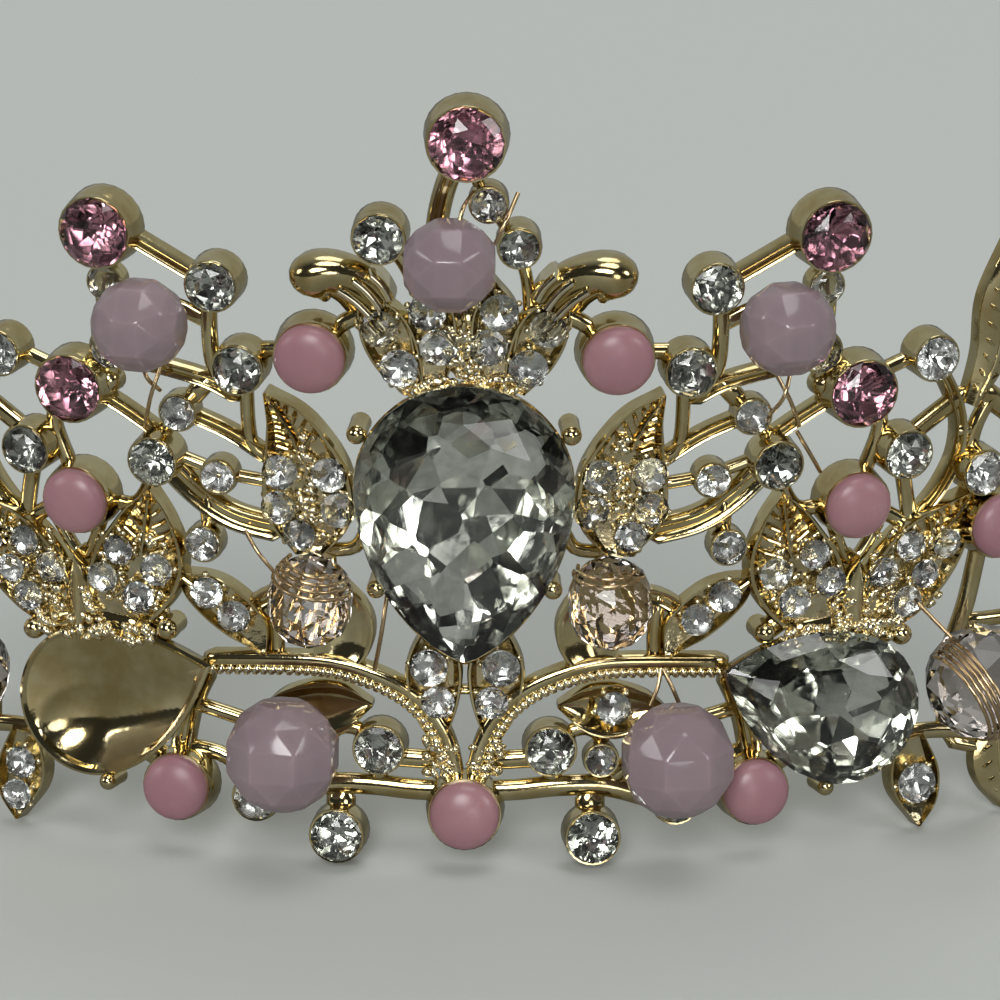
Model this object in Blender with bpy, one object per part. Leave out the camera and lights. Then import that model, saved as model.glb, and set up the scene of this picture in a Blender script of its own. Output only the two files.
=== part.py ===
"""Stage tiara: a cast gold-plated frame set with rhinestones, opal cabochons and beads.

The frame is laid out on a sheet that follows the head: u runs along the sheet from the
middle of the front, v runs up it from the surface that the tiara stands on, and n stands
out of it towards the front. Sizes and places are in millimetres, and the right half is
given. The left half is its mirror image, apart from the rows that name one side.
The finished tiara faces -Y and stands on +Z, its footprint centred on the origin.
"""
import math

import bmesh
import bpy
from mathutils import Matrix, Vector

MM = 0.001

# Plan of the sheet: a wide arc across the front, a tighter one round each side.
FRONT_RADIUS = 110.0
FRONT_HALF_LENGTH = 45.0
SIDE_RADIUS = 50.0
ARM_END = 112.0

# The foot of the front flares outwards, and the crest leans very slightly forwards.
FLARE = 4.0
FLARE_HEIGHT = 35.0
CREST_LEAN = 0.0007

# Cast cups that hold the round stones.
CUP_HEIGHT = 3.4
CUP_WALL = 0.45
CUP_SPREAD = 1.2
CUP_SLACK = 0.05
SEAT_DEPTH = 1.2
SEAT_GAP = 0.3
LARGE_STONE = 5.0

# Thickness of the cast work.
BAR_CROWN = 0.72
BEAD_REST_TOP = 0.9
LEAF_TOP = 2.0
LEAF_RIM = 0.45
DISH_DEPTH = 0.6
LONGEST_STEP = 7.0
EYE_RADIUS = 2.0
EYE_HOLE = 0.9
EYE_TOP = 1.35
FRAME_TRIANGLES = 9300

# Pear crystals: half width, and the distance from the middle of the round end to the tip.
PEAR_CENTRE = {"at": (0.0, 35.6), "tip": (0.0, 19.9), "radius": 9.05}
PEAR_SIDE = {"at": (33.0, 12.9), "tip": (22.4, 17.4), "radius": 6.45}
SETTING_TOP = 2.6
SETTING_WALL = 0.6

# Own stones. side: 0 both halves, 1 the right half or the middle, -1 the left half.
ROUND_STONES = (
    # name, side, u, v, diameter, kind
    ("fuchsia_top", 1, 0.3, 66.8, 6.4, "fuchsia"),
    ("fuchsia_side", 0, 31.0, 57.4, 6.2, "fuchsia"),
    ("fuchsia_low", 0, 34.2, 42.7, 6.0, "fuchsia"),
    ("clear_top_left", 1, -6.9, 58.3, 4.3, "clear"),
    ("clear_top_right", 1, 4.6, 57.6, 3.4, "clear"),
    ("clear_shoulder", 0, 21.0, 53.4, 4.4, "clear"),
    ("clear_inner", 0, 19.0, 45.9, 4.3, "clear"),
    ("clear_waist", 0, 26.8, 36.7, 4.2, "clear"),
    ("clear_outer", 0, 38.6, 36.4, 4.3, "clear"),
    ("clear_low", 0, 7.3, 10.9, 4.3, "clear"),
    ("clear_foot", 0, 10.8, 2.75, 4.6, "clear"),
    ("cab_upper", 0, 12.8, 47.4, 6.1, "cabochon"),
    ("cab_waist", 0, 34.0, 32.2, 5.9, "cabochon"),
    ("cab_end", 0, 47.8, 28.2, 5.9, "cabochon"),
    ("cab_low", 0, 24.8, 6.1, 5.9, "cabochon"),
    ("cab_foot", 1, 0.0, 5.1, 6.2, "cabochon"),
)

# Small stones cast in one with their cup.
SMALL_CUPS = (
    # side, u, v, diameter, height
    (1, 2.1, 61.2, 3.0, 2.6),
    (0, 24.7, 41.1, 3.1, 2.4),
    (0, 21.3, 35.4, 3.0, 2.4),
    (0, 22.8, 28.9, 3.1, 2.4),
    (0, 40.9, 45.1, 4.0, 3.2),
    (0, 46.2, 33.5, 4.0, 3.2),
    (0, 18.2, 5.3, 4.0, 1.8),
    (0, 30.9, 52.4, 3.0, 2.0),
    (0, 30.7, 46.4, 3.6, 2.0),
    (1, 11.7, 9.6, 2.8, 2.4),
)

# Stones set in the leaves.
LEAF_STONES = (
    # side, u, v, diameter
    (0, 6.4, 50.1, 3.0),
    (0, 3.0, 51.4, 3.0),
    (0, 5.4, 46.5, 3.0),
    (0, 2.1, 48.5, 3.0),
    (0, 15.7, 36.0, 2.9),
    (0, 15.7, 33.1, 2.9),
    (0, 11.5, 36.3, 2.9),
    (0, 10.8, 33.0, 2.8),
    (0, 14.4, 30.6, 2.7),
    (0, 27.2, 25.9, 2.7),
    (0, 28.5, 23.4, 2.7),
    (0, 30.5, 27.6, 2.5),
    (0, 32.0, 24.8, 2.6),
    (0, 36.9, 25.1, 2.6),
    (0, 39.2, 22.0, 2.6),
    (0, 39.5, 27.3, 2.5),
    (0, 43.0, 27.0, 2.5),
    (0, 40.9, 24.4, 2.4),
    (0, 22.4, 24.2, 2.7),
    (0, 20.2, 22.4, 2.7),
    (0, 39.7, 4.8, 2.6),
    (0, 3.1, 18.3, 3.3),
    (0, 2.2, 15.7, 2.7),
    (1, 12.8, 14.4, 2.7),
)

# Leaves. form: "bed" is flat under its stones, "dish" has a rim, "ridge" rises to a midrib.
LEAVES = (
    # base u, base v, tip u, tip v, width, bow, top, form
    (2.6, 44.5, 2.6, 54.0, 4.2, 0.2, 2.0, "bed"),
    (4.0, 44.3, 8.3, 53.3, 5.0, 0.4, 2.2, "bed"),
    (12.4, 28.9, 16.7, 43.4, 8.6, 0.6, 2.0, "bed"),
    (17.4, 18.6, 25.3, 25.8, 4.6, 1.0, 1.9, "bed"),
    (10.0, 17.4, 12.0, 27.0, 6.6, 0.0, 1.7, "dish"),
    (33.2, 18.6, 27.0, 33.4, 8.6, -1.4, 2.2, "bed"),
    (35.4, 18.8, 45.6, 31.4, 8.4, -0.8, 2.2, "bed"),
    (34.2, 18.6, 34.6, 26.8, 2.4, 0.0, 2.6, "ridge"),
    (40.6, 8.9, 40.0, 0.4, 4.9, 0.6, 1.9, "bed"),
    (48.3, 9.0, 48.4, 0.5, 4.6, -0.4, 1.7, "ridge"),
    (44.6, 39.6, 48.2, 55.0, 5.6, 0.9, 2.0, "ridge"),
    (2.4, 10.9, 2.9, 22.2, 5.0, 0.1, 1.9, "bed"),
    (8.0, 14.6, 17.8, 13.0, 4.4, 0.8, 1.6, "dish"),
)

# Straps, stems and bars of the casting.
BARS = (
    # side, width, top, route through (u, v)
    (1, 1.9, 1.4, ((0.3, 66.0), (-1.4, 62.5), (-2.3, 58.0), (-2.2, 52.0), (0.0, 46.0))),
    (1, 1.1, 1.2, ((0.9, 65.5), (1.4, 62.0), (3.6, 58.5), (5.2, 54.5), (5.6, 50.0))),
    (1, 1.7, 1.3, ((-6.9, 58.3), (-4.6, 55.0), (-3.6, 52.0))),
    (0, 4.4, 2.4, ((4.2, 47.5), (6.2, 51.0), (8.4, 54.6))),
    (0, 3.0, 2.8, ((7.2, 54.4), (9.6, 55.4), (12.2, 55.6))),
    (0, 2.0, 2.8, ((11.6, 56.0), (13.2, 55.2), (13.0, 53.5))),
    (0, 1.6, 1.4, ((12.8, 47.6), (10.0, 50.0), (7.6, 51.0))),
    (0, 1.5, 1.4, ((12.8, 47.3), (19.0, 47.0))),
    (0, 1.3, 1.5, ((30.5, 57.6), (26.0, 55.2), (21.6, 52.8))),
    (0, 1.7, 1.4, ((30.6, 56.4), (31.4, 51.8), (31.2, 46.5), (31.3, 42.8), (34.0, 42.8))),
    (0, 1.5, 1.3, ((21.9, 53.0), (22.0, 48.0), (21.6, 45.0), (20.0, 42.4))),
    (0, 1.6, BEAD_REST_TOP, ((21.6, 49.0), (26.0, 50.6), (31.4, 50.0))),
    (0, 1.3, 1.5, ((18.9, 45.0), (18.6, 38.6), (16.8, 37.0))),
    (0, 1.6, 1.5, ((19.2, 42.4), (22.2, 43.9), (26.0, 44.8), (31.0, 45.6))),
    (0, 1.8, 1.4, ((22.2, 44.0), (24.6, 41.2))),
    (0, 1.5, 1.4, ((33.6, 42.4), (30.4, 40.8), (26.2, 38.2))),
    (0, 1.4, 1.3, ((26.8, 38.4), (24.7, 41.0))),
    (0, 1.4, 1.4, ((34.6, 43.0), (41.0, 45.2))),
    (0, 1.5, 1.4, ((35.6, 41.6), (36.9, 38.7), (35.2, 33.6))),
    (0, 1.4, 1.5, ((41.4, 45.0), (44.2, 39.4), (44.4, 35.4), (42.9, 32.1), (40.6, 29.4))),
    (0, 1.9, 1.4, ((39.0, 36.8), (42.0, 38.8), (45.2, 40.8))),
    (0, 1.5, 1.4, ((38.8, 36.0), (39.6, 32.0), (40.2, 28.4))),
    (0, 1.5, 1.3, ((34.6, 31.9), (38.6, 29.6), (40.4, 27.8))),
    (0, 1.2, 1.2, ((32.2, 31.0), (34.5, 26.0), (37.6, 30.0))),
    (0, 1.5, 1.3, ((27.0, 36.0), (29.3, 31.6), (33.6, 32.2))),
    (0, 1.5, 1.5, ((24.4, 40.8), (20.4, 39.2), (16.6, 36.8))),
    (0, 2.6, 1.5, ((26.6, 36.2), (23.3, 33.1), (20.3, 31.3), (15.8, 30.3))),
    (0, 1.2, 1.4, ((26.4, 37.0), (21.3, 35.4), (16.4, 34.7))),
    (0, 1.5, 1.3, ((22.8, 33.0), (22.8, 28.9), (25.4, 28.0))),
    (0, 1.6, 1.3, ((24.6, 25.2), (26.4, 24.4))),
    (0, 1.8, 1.4, ((14.0, 24.6), (17.0, 24.1), (20.0, 22.0))),
    (0, 1.4, 1.3, ((17.0, 24.2), (16.6, 21.0), (16.6, 17.6))),
    (0, 1.3, 1.4, ((8.2, 31.6), (9.5, 29.1), (12.2, 28.6))),
    (0, 2.2, 0.8, ((12.6, 31.0), (12.2, 25.8), (11.0, 20.0))),
    (0, 1.0, 1.9, ((1.4, 6.5), (2.2, 10.6), (3.6, 13.3), (5.6, 15.2), (8.2, 16.5), (11.7, 17.4),
                   (16.1, 17.4), (23.0, 16.9))),
    (0, 1.4, 1.3, ((9.0, 17.0), (13.5, 18.2), (17.0, 18.2), (23.2, 17.8))),
    (0, 1.3, 1.3, ((2.2, 10.4), (3.8, 14.6), (6.5, 16.8), (9.4, 17.6))),
    (0, 2.0, 1.5, ((0.0, 6.6), (4.4, 6.7), (8.2, 7.0), (12.4, 6.8), (17.0, 5.3))),
    (0, 2.6, 1.4, ((10.8, 6.6), (10.8, 3.4))),
    (0, 1.8, 1.4, ((2.2, 9.4), (7.3, 9.4), (7.3, 7.2))),
    (0, 1.4, 1.2, ((7.4, 11.4), (10.6, 12.2), (12.4, 10.8))),
    (0, 1.3, 1.1, ((11.7, 9.6), (12.0, 7.0))),
    (0, 2.2, 1.4, ((22.8, 17.0), (24.4, 13.0), (25.4, 7.0))),
    (0, 1.4, 1.4, ((24.2, 13.4), (19.6, 12.3), (16.4, 11.2), (12.6, 7.2))),
    (0, 1.5, 1.3, ((25.2, 9.4), (21.0, 8.6), (17.8, 5.6))),
    (0, 2.4, 1.6, ((25.0, 6.8), (29.0, 9.2))),
    (0, 2.6, 1.8, ((28.6, 19.8), (34.0, 20.2), (38.8, 18.6))),
    (0, 2.2, 1.6, ((25.6, 19.6), (27.6, 21.0), (29.2, 22.0))),
    (0, 1.6, 1.3, ((38.6, 9.0), (43.6, 8.6), (50.0, 6.6))),
    (0, 1.8, 1.3, ((47.6, 27.4), (46.0, 20.6), (44.0, 15.0), (43.6, 8.6))),
    (0, 1.5, 1.4, ((48.0, 40.4), (46.2, 37.0), (46.0, 33.4), (47.6, 29.0))),
    (0, 1.5, 1.4, ((44.0, 37.2), (46.2, 36.8))),
    (1, 0.9, 1.6, ((-1.8, 16.0), (1.8, 16.0))),
)

# Plain arms behind the photo's edge.
ARM_BARS = (
    # side, width, top, route through (u, v)
    (0, 3.0, 1.4, ((43.8, 8.4), (50.0, 6.2), (60.0, 3.6), (72.0, 2.1), (86.0, 1.5), (ARM_END, 1.5))),
    (0, 2.2, 1.4, ((46.4, 40.8), (54.0, 34.6), (64.0, 25.2), (76.0, 14.8), (88.0, 5.6), (94.0, 2.0))),
    (0, 1.5, 1.3, ((48.0, 28.4), (57.0, 31.6))),
    (0, 1.5, 1.3, ((57.0, 4.6), (57.6, 31.0))),
    (0, 1.5, 1.3, ((69.0, 2.6), (69.4, 20.4))),
    (0, 1.5, 1.3, ((80.0, 1.9), (80.2, 11.6))),
    (0, 1.5, 1.3, ((45.4, 18.6), (57.4, 17.6))),
)

# Prongs beside the pear crystals, and one gold ball.
PRONGS = (
    # u, v, radius, height
    (9.0, 40.5, 0.90, 3.9),
    (7.5, 26.0, 0.85, 3.9),
    (26.0, 20.6, 1.00, 3.4),
    (38.7, 18.9, 1.00, 3.2),
    (31.2, 5.6, 0.80, 3.4),
    (31.3, 43.1, 1.20, 2.0),
)

# Beads: the hole's axis is along u at turn 0 and along v at turn 90.
BEADS = (
    # name, u, v, n, diameter, length, turn, kind
    ("milky_top", -1.0, 57.0, 5.6, 8.2, 7.6, 0, "milky"),
    ("milky_upper_left", -26.4, 50.4, 5.8, 8.3, 7.6, 0, "milky"),
    ("milky_upper_right", 26.3, 50.4, 5.8, 8.3, 7.6, 0, "milky"),
    ("milky_low_left", -14.7, 11.3, 7.2, 10.4, 9.4, 90, "milky"),
    ("milky_low_right", 17.4, 10.8, 7.1, 10.4, 9.4, 90, "milky"),
    ("peach_mid_left", -12.6, 25.8, 6.2, 8.4, 7.0, 0, "peach"),
    ("peach_mid_right", 12.0, 25.8, 6.2, 8.4, 7.0, 0, "peach"),
    ("peach_end_left", -44.2, 15.2, 7.0, 10.6, 9.6, 0, "peach"),
    ("peach_end_right", 44.2, 14.8, 7.0, 10.6, 9.6, 0, "peach"),
)

MATERIALS = {
    # kind: colour, metallic, roughness
    "gold": ((0.72, 0.55, 0.25), 1.0, 0.18),
    "fuchsia": ((0.62, 0.10, 0.28), 0.0, 0.05),
    "clear": ((0.86, 0.89, 0.88), 0.0, 0.03),
    "milky": ((0.78, 0.60, 0.66), 0.0, 0.15),
    "peach": ((0.86, 0.62, 0.54), 0.0, 0.06),
    "cabochon": ((0.78, 0.33, 0.42), 0.0, 0.12),
}


def plan_curve(u):
    """Place in plan and the heading of the sheet at u."""
    join = FRONT_HALF_LENGTH / FRONT_RADIUS
    length = abs(u)
    side = math.copysign(1.0, u)
    if length <= FRONT_HALF_LENGTH:
        heading = length / FRONT_RADIUS
        across = FRONT_RADIUS * math.sin(heading)
        back = FRONT_RADIUS * (1.0 - math.cos(heading))
    else:
        heading = join + (length - FRONT_HALF_LENGTH) / SIDE_RADIUS
        across = FRONT_RADIUS * math.sin(join) + SIDE_RADIUS * (math.sin(heading) - math.sin(join))
        back = FRONT_RADIUS * (1.0 - math.cos(join)) + SIDE_RADIUS * (math.cos(join) - math.cos(heading))
    return side * across, back, side * heading


def lean(v):
    """Outward offset of the sheet at height v, and the tilt of its face."""
    if v < FLARE_HEIGHT:
        share = (FLARE_HEIGHT - v) / FLARE_HEIGHT
        return FLARE * share ** 2, math.atan(2.0 * FLARE * share / FLARE_HEIGHT)
    rise = v - FLARE_HEIGHT
    return CREST_LEAN * rise ** 2, -math.atan(2.0 * CREST_LEAN * rise)


def sheet_axes(u, v):
    """Origin, sideways, upward and outward directions of the sheet at (u, v)."""
    across, back, heading = plan_curve(u)
    offset, tilt = lean(v)
    flat_out = Vector((math.sin(heading), -math.cos(heading), 0.0))
    sideways = Vector((math.cos(heading), math.sin(heading), 0.0))
    outward = flat_out * math.cos(tilt) + Vector((0.0, 0.0, math.sin(tilt)))
    upward = outward.cross(sideways)
    origin = Vector((across, back, v)) + flat_out * offset
    return origin, sideways, upward, outward


def laid(side):
    """Lays (u, v, n) on the curved sheet, on the right half or mirrored."""
    def place(u, v, n):
        origin, _, _, outward = sheet_axes(side * u, v)
        return origin + outward * n
    return place


def seat(u, v, turn=0.0):
    """Placement of a stiff piece at (u, v): its z axis points out of the sheet, and turn goes round it."""
    origin, sideways, upward, outward = sheet_axes(u, v)
    axes = Matrix((sideways, upward, outward)).transposed().to_4x4()
    return Matrix.Translation(origin) @ axes @ Matrix.Rotation(turn, 4, "Z")


def seated(placement):
    """Sets a stiff piece of the casting on the sheet."""
    def place(x, y, n):
        return placement @ Vector((x, y, n))
    return place


def own_axes(x, y, n):
    """Leaves a stone in its own axes: its object carries the placement."""
    return Vector((x, y, n))


def ring_solid(rings, place, capped=True):
    """Closed solid through rings of equally many (x, y, n) points, capped or run back to the first."""
    mesh = bmesh.new()
    loops = [[mesh.verts.new(place(*point) * MM) for point in ring] for ring in rings]
    followers = loops[1:] if capped else loops[1:] + loops[:1]
    for lower, upper in zip(loops, followers):
        for index in range(len(lower)):
            after = (index + 1) % len(lower)
            mesh.faces.new((lower[index], lower[after], upper[after], upper[index]))
    if capped:
        mesh.faces.new(loops[0][::-1])
        mesh.faces.new(loops[-1])
    bmesh.ops.triangulate(mesh, faces=mesh.faces)
    bmesh.ops.recalc_face_normals(mesh, faces=mesh.faces)
    return mesh


def circle(radius, sides, n, turn=0.0):
    """Ring of points round the outward axis."""
    step = 2.0 * math.pi / sides
    return [(radius * math.cos(step * i + turn), radius * math.sin(step * i + turn), n) for i in range(sides)]


def halves(side):
    """Sides that a table row is built on."""
    return (1, -1) if side == 0 else (side,)


def cup(u, v, diameter):
    """Cast cup with a round seat for a stone of its own."""
    sides = 10 if diameter > LARGE_STONE else 8
    inside = diameter / 2.0 + CUP_SLACK
    rings = [
        circle(CUP_SPREAD * diameter / 2.0, sides, 0.0),
        circle(inside + CUP_WALL, sides, CUP_HEIGHT),
        circle(inside, sides, CUP_HEIGHT),
        circle(inside, sides, CUP_HEIGHT - SEAT_DEPTH),
    ]
    return ring_solid(rings, seated(seat(u, v)))


def turned_stone(diameter, sides, profile):
    """Stone turned from a profile of (share of its radius, height above the cup's edge)."""
    radius = diameter / 2.0 + CUP_SLACK - SEAT_GAP
    rings = [circle(share * radius, sides, CUP_HEIGHT + height) for share, height in profile]
    return ring_solid(rings, own_axes)


def rhinestone(diameter):
    """Round cut stone: pavilion, girdle, eight crown facets and a table."""
    return turned_stone(diameter, 8, ((0.45, -0.9), (1.0, -0.1), (1.0, 0.2), (0.6, 0.95)))


def cabochon(diameter):
    """Flat-backed stone with a round dome."""
    return turned_stone(diameter, 12, ((1.0, -0.9), (1.0, 0.2), (0.88, 0.9), (0.58, 1.5), (0.22, 1.75)))


def small_cup(u, v, diameter, height):
    """Small cup with its stone, one solid."""
    radius = diameter / 2.0
    rings = [
        circle(1.22 * radius, 8, 0.0, 0.2),
        circle(radius + 0.3, 8, height, 0.2),
        circle(radius, 8, height, 0.2),
        circle(0.58 * radius, 8, height + 0.5, 0.2),
    ]
    return ring_solid(rings, seated(seat(u, v)))


def leaf_stone(u, v, diameter):
    """Cut stone sunk in a leaf."""
    radius = diameter / 2.0
    rings = [
        circle(radius, 8, LEAF_TOP - 1.1, 0.3),
        circle(radius, 8, LEAF_TOP + 0.1, 0.3),
        circle(0.58 * radius, 8, LEAF_TOP + 0.55, 0.3),
    ]
    return ring_solid(rings, seated(seat(u, v)))


def leaf_outline(base, tip, width, bow, inset=0.0, points=4):
    """Pointed oval from base to tip, its middle pushed sideways by bow."""
    axis = Vector(tip) - Vector(base)
    length = axis.length
    along = axis / length
    across = Vector((along.y, -along.x))
    start = inset * 1.6
    span = length - 2.0 * start

    def edge(share, sign):
        middle = math.sin(math.pi * share) * bow
        half = max(width / 2.0 - inset, 0.1) * math.sin(math.pi * share ** 0.85)
        return Vector(base) + along * (start + span * share) + across * (middle + sign * half)

    shares = [i / (points + 1) for i in range(1, points + 1)]
    outline = [edge(0.0, 1)]
    outline += [edge(share, 1) for share in shares]
    outline += [edge(1.0, 1)]
    outline += [edge(share, -1) for share in reversed(shares)]
    return outline


def leaf(side, base, tip, width, bow, top, form):
    """Cast leaf laid on the sheet."""
    outer = leaf_outline(base, tip, width, bow)
    if form == "dish":
        inner = leaf_outline(base, tip, width, bow, LEAF_RIM)
        levels = ((outer, 0.1), (outer, top), (inner, top), (inner, top - DISH_DEPTH))
    elif form == "bed":
        levels = ((outer, 0.1), (outer, top))
    else:
        crest = leaf_outline(base, tip, width, bow, 0.46 * width)
        levels = ((outer, 0.1), (outer, top - 0.7), (crest, top + 0.3))
    rings = [[(point.x, point.y, n) for point in outline] for outline, n in levels]
    return ring_solid(rings, laid(side))


def stepped(route):
    """Route with its long runs split, so that bars follow the curved sheet."""
    points = [Vector(route[0])]
    for start, end in zip(route, route[1:]):
        run = Vector(end) - Vector(start)
        pieces = math.ceil(run.length / LONGEST_STEP)
        points += [Vector(start) + run * (i / pieces) for i in range(1, pieces + 1)]
    return points


def bar(side, width, top, route):
    """Bar of the casting: flat back and a narrower crown."""
    points = stepped(route)
    rings = []
    for index, point in enumerate(points):
        before = points[max(index - 1, 0)]
        after = points[min(index + 1, len(points) - 1)]
        heading = (after - before).normalized()
        across = Vector((heading.y, -heading.x)) * width / 2.0
        profile = ((-1.0, 0.0), (1.0, 0.0), (BAR_CROWN, top), (-BAR_CROWN, top))
        rings.append([(point.x + across.x * share, point.y + across.y * share, n) for share, n in profile])
    return ring_solid(rings, laid(side))


def pear_outline(radius, reach, grow, scale, n):
    """Pear shape with its tip along +x: a half circle, then full sides to the tip."""
    wide = (radius + grow) * scale
    long = (reach + 1.25 * grow) * scale
    points = []
    for i in range(9):
        angle = math.pi / 2.0 + math.pi * i / 8.0
        points.append((wide * math.cos(angle), wide * math.sin(angle), n))
    shares = (0.24, 0.44, 0.63, 0.8, 0.93)
    sides = [(long * share, wide * (1.0 - share ** 2) ** 0.82) for share in shares]
    points += [(x, -y, n) for x, y in sides]
    points.append((long, 0.0, n))
    points += [(x, y, n) for x, y in reversed(sides)]
    return points


def pear_seat(pear, side):
    """Placement of a pear crystal, its tip along +x."""
    at = Vector(pear["at"])
    run = Vector(pear["tip"]) - at
    return seat(side * at.x, at.y, math.atan2(run.y, side * run.x))


def pear_reach(pear):
    """Distance from the middle of the round end to the tip."""
    return (Vector(pear["tip"]) - Vector(pear["at"])).length


def pear_setting(pear, side):
    """Cast pear setting: a rim round a hollow that narrows to the back."""
    reach = pear_reach(pear)
    radius = pear["radius"]
    rings = [
        pear_outline(radius, reach, 0.3, 0.8, -0.2),
        pear_outline(radius, reach, SEAT_GAP + SETTING_WALL, 1.0, SETTING_TOP),
        pear_outline(radius, reach, SEAT_GAP, 1.0, SETTING_TOP),
        pear_outline(radius, reach, 0.0, 0.6, 1.3),
        pear_outline(radius, reach, 0.0, 0.12, 0.6),
    ]
    return ring_solid(rings, seated(pear_seat(pear, side)))


def pear_crystal(pear):
    """Pear cut stone: keel, girdle, crown and table."""
    profile = ((0.3, 1.5), (0.68, 2.2), (1.0, 2.95), (1.0, 3.35), (0.84, 4.5), (0.6, 5.3))
    rings = [pear_outline(pear["radius"], pear_reach(pear), 0.0, scale, n) for scale, n in profile]
    return ring_solid(rings, own_axes)


def prong(u, v, radius, height):
    """Round-headed post."""
    rings = [
        circle(radius * 1.1, 6, 0.1),
        circle(radius, 6, height - 0.45),
        circle(radius * 0.6, 6, height),
    ]
    return ring_solid(rings, seated(seat(u, v)))


def bead(n, diameter, length):
    """Faceted round bead with its hole's axis along x, its facets offset from row to row."""
    sides = 12
    step = 2.0 * math.pi / sides
    profile = ((-0.5, 0.48), (-0.3, 0.84), (0.0, 1.0), (0.3, 0.84), (0.5, 0.48))
    rings = []
    for row, (share, girth) in enumerate(profile):
        ring = []
        for i in range(sides):
            angle = step * (i + 0.5 * (row % 2))
            reach = girth * diameter / 2.0
            ring.append((share * length, reach * math.cos(angle), n + reach * math.sin(angle)))
        rings.append(ring)
    return ring_solid(rings, own_axes)


def arm_eye(side):
    """Flat eye at the end of an arm."""
    levels = ((EYE_RADIUS, 0.05), (EYE_RADIUS, EYE_TOP), (EYE_HOLE, EYE_TOP), (EYE_HOLE, 0.05))
    rings = [circle(radius, 12, n) for radius, n in levels]
    return ring_solid(rings, seated(seat(side * (ARM_END + 1.0), EYE_RADIUS + 0.02)), capped=False)


def make_material(name, kind):
    """Principled material in the kind's colour."""
    colour, metallic, roughness = MATERIALS[kind]
    material = bpy.data.materials.new(name)
    material.use_nodes = True
    shader = material.node_tree.nodes["Principled BSDF"]
    shader.inputs["Base Color"].default_value = (*colour, 1.0)
    shader.inputs["Metallic"].default_value = metallic
    shader.inputs["Roughness"].default_value = roughness
    material.diffuse_color = (*colour, 1.0)
    return material


def make_object(name, mesh, kind, collection=None):
    """Object made from a bmesh, linked to the scene or to a collection."""
    data = bpy.data.meshes.new(name)
    mesh.to_mesh(data)
    mesh.free()
    thing = bpy.data.objects.new(name, data)
    data.materials.append(make_material(name, kind))
    (collection or bpy.context.scene.collection).objects.link(thing)
    return thing


def casting_solids():
    """All pieces that are soldered into the frame."""
    solids = []
    for side in (1, -1):
        solids.append(pear_setting(PEAR_SIDE, side))
        solids.append(arm_eye(side))
        solids += [prong(side * u, v, radius, height) for u, v, radius, height in PRONGS]
        for base_u, base_v, tip_u, tip_v, width, bow, top, form in LEAVES:
            solids.append(leaf(side, (base_u, base_v), (tip_u, tip_v), width, bow, top, form))
    for side, width, top, route in BARS + ARM_BARS:
        solids += [bar(half, width, top, route) for half in halves(side)]
    for _, side, u, v, diameter, _ in ROUND_STONES:
        solids += [cup(half * u, v, diameter) for half in halves(side)]
    for side, u, v, diameter, height in SMALL_CUPS:
        solids += [small_cup(half * u, v, diameter, height) for half in halves(side)]
    for side, u, v, diameter in LEAF_STONES:
        solids += [leaf_stone(half * u, v, diameter) for half in halves(side)]
    return solids


def evaluated_mesh(thing):
    """Mesh of an object with its modifiers applied."""
    graph = bpy.context.evaluated_depsgraph_get()
    return bpy.data.meshes.new_from_object(thing.evaluated_get(graph))


def unite(base, pieces):
    """Unites a collection of solids with the base object."""
    joint = base.modifiers.new("Soldered", "BOOLEAN")
    joint.operation = "UNION"
    joint.operand_type = "COLLECTION"
    joint.collection = pieces
    joint.solver = "EXACT"
    united = evaluated_mesh(base)
    base.modifiers.clear()
    base.data = united


def drop_slivers(thing, target):
    """Collapses the short edges that a union leaves, down to a target count of triangles."""
    mesh = bmesh.new()
    mesh.from_mesh(thing.data)
    bmesh.ops.triangulate(mesh, faces=mesh.faces)
    mesh.to_mesh(thing.data)
    mesh.free()
    collapse = thing.modifiers.new("Collapse", "DECIMATE")
    collapse.ratio = min(1.0, target / len(thing.data.polygons))
    reduced = evaluated_mesh(thing)
    thing.modifiers.clear()
    thing.data = reduced


def make_frame():
    """Casting in one piece: every solid is soldered to the centre setting."""
    pieces = bpy.data.collections.new("casting_pieces")
    bpy.context.scene.collection.children.link(pieces)
    for solid in casting_solids():
        make_object("casting_piece", solid, "gold", pieces)
    frame = make_object("frame", pear_setting(PEAR_CENTRE, 1), "gold")
    unite(frame, pieces)
    for piece in list(pieces.objects):
        bpy.data.objects.remove(piece)
    bpy.data.collections.remove(pieces)
    drop_slivers(frame, FRAME_TRIANGLES)
    frame.data.materials.clear()
    frame.data.materials.append(make_material("frame", "gold"))
    return frame


def make_stone(name, mesh, kind, placement):
    """Stone as an object of its own, carried by its placement on the sheet."""
    stone = make_object(name, mesh, kind)
    world = placement.copy()
    world.translation *= MM
    stone.matrix_world = world
    return stone


def make_stones():
    """Every stone and bead that is a piece of its own."""
    makers = {"fuchsia": rhinestone, "clear": rhinestone, "cabochon": cabochon}
    facet_turn = {"fuchsia": math.pi / 8.0, "clear": math.pi / 8.0, "cabochon": 0.0}
    stones = []
    for name, side, u, v, diameter, kind in ROUND_STONES:
        for half in halves(side):
            suffix = "" if side else {1: "_right", -1: "_left"}[half]
            placement = seat(half * u, v, facet_turn[kind])
            stones.append(make_stone(name + suffix, makers[kind](diameter), kind, placement))
    for name, u, v, n, diameter, length, turn, kind in BEADS:
        placement = seat(u, v, math.radians(turn))
        stones.append(make_stone(name, bead(n, diameter, length), kind, placement))
    for name, pear in (("pear_centre", PEAR_CENTRE), ("pear_right", PEAR_SIDE)):
        stones.append(make_stone(name, pear_crystal(pear), "clear", pear_seat(pear, 1)))
    return stones


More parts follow.
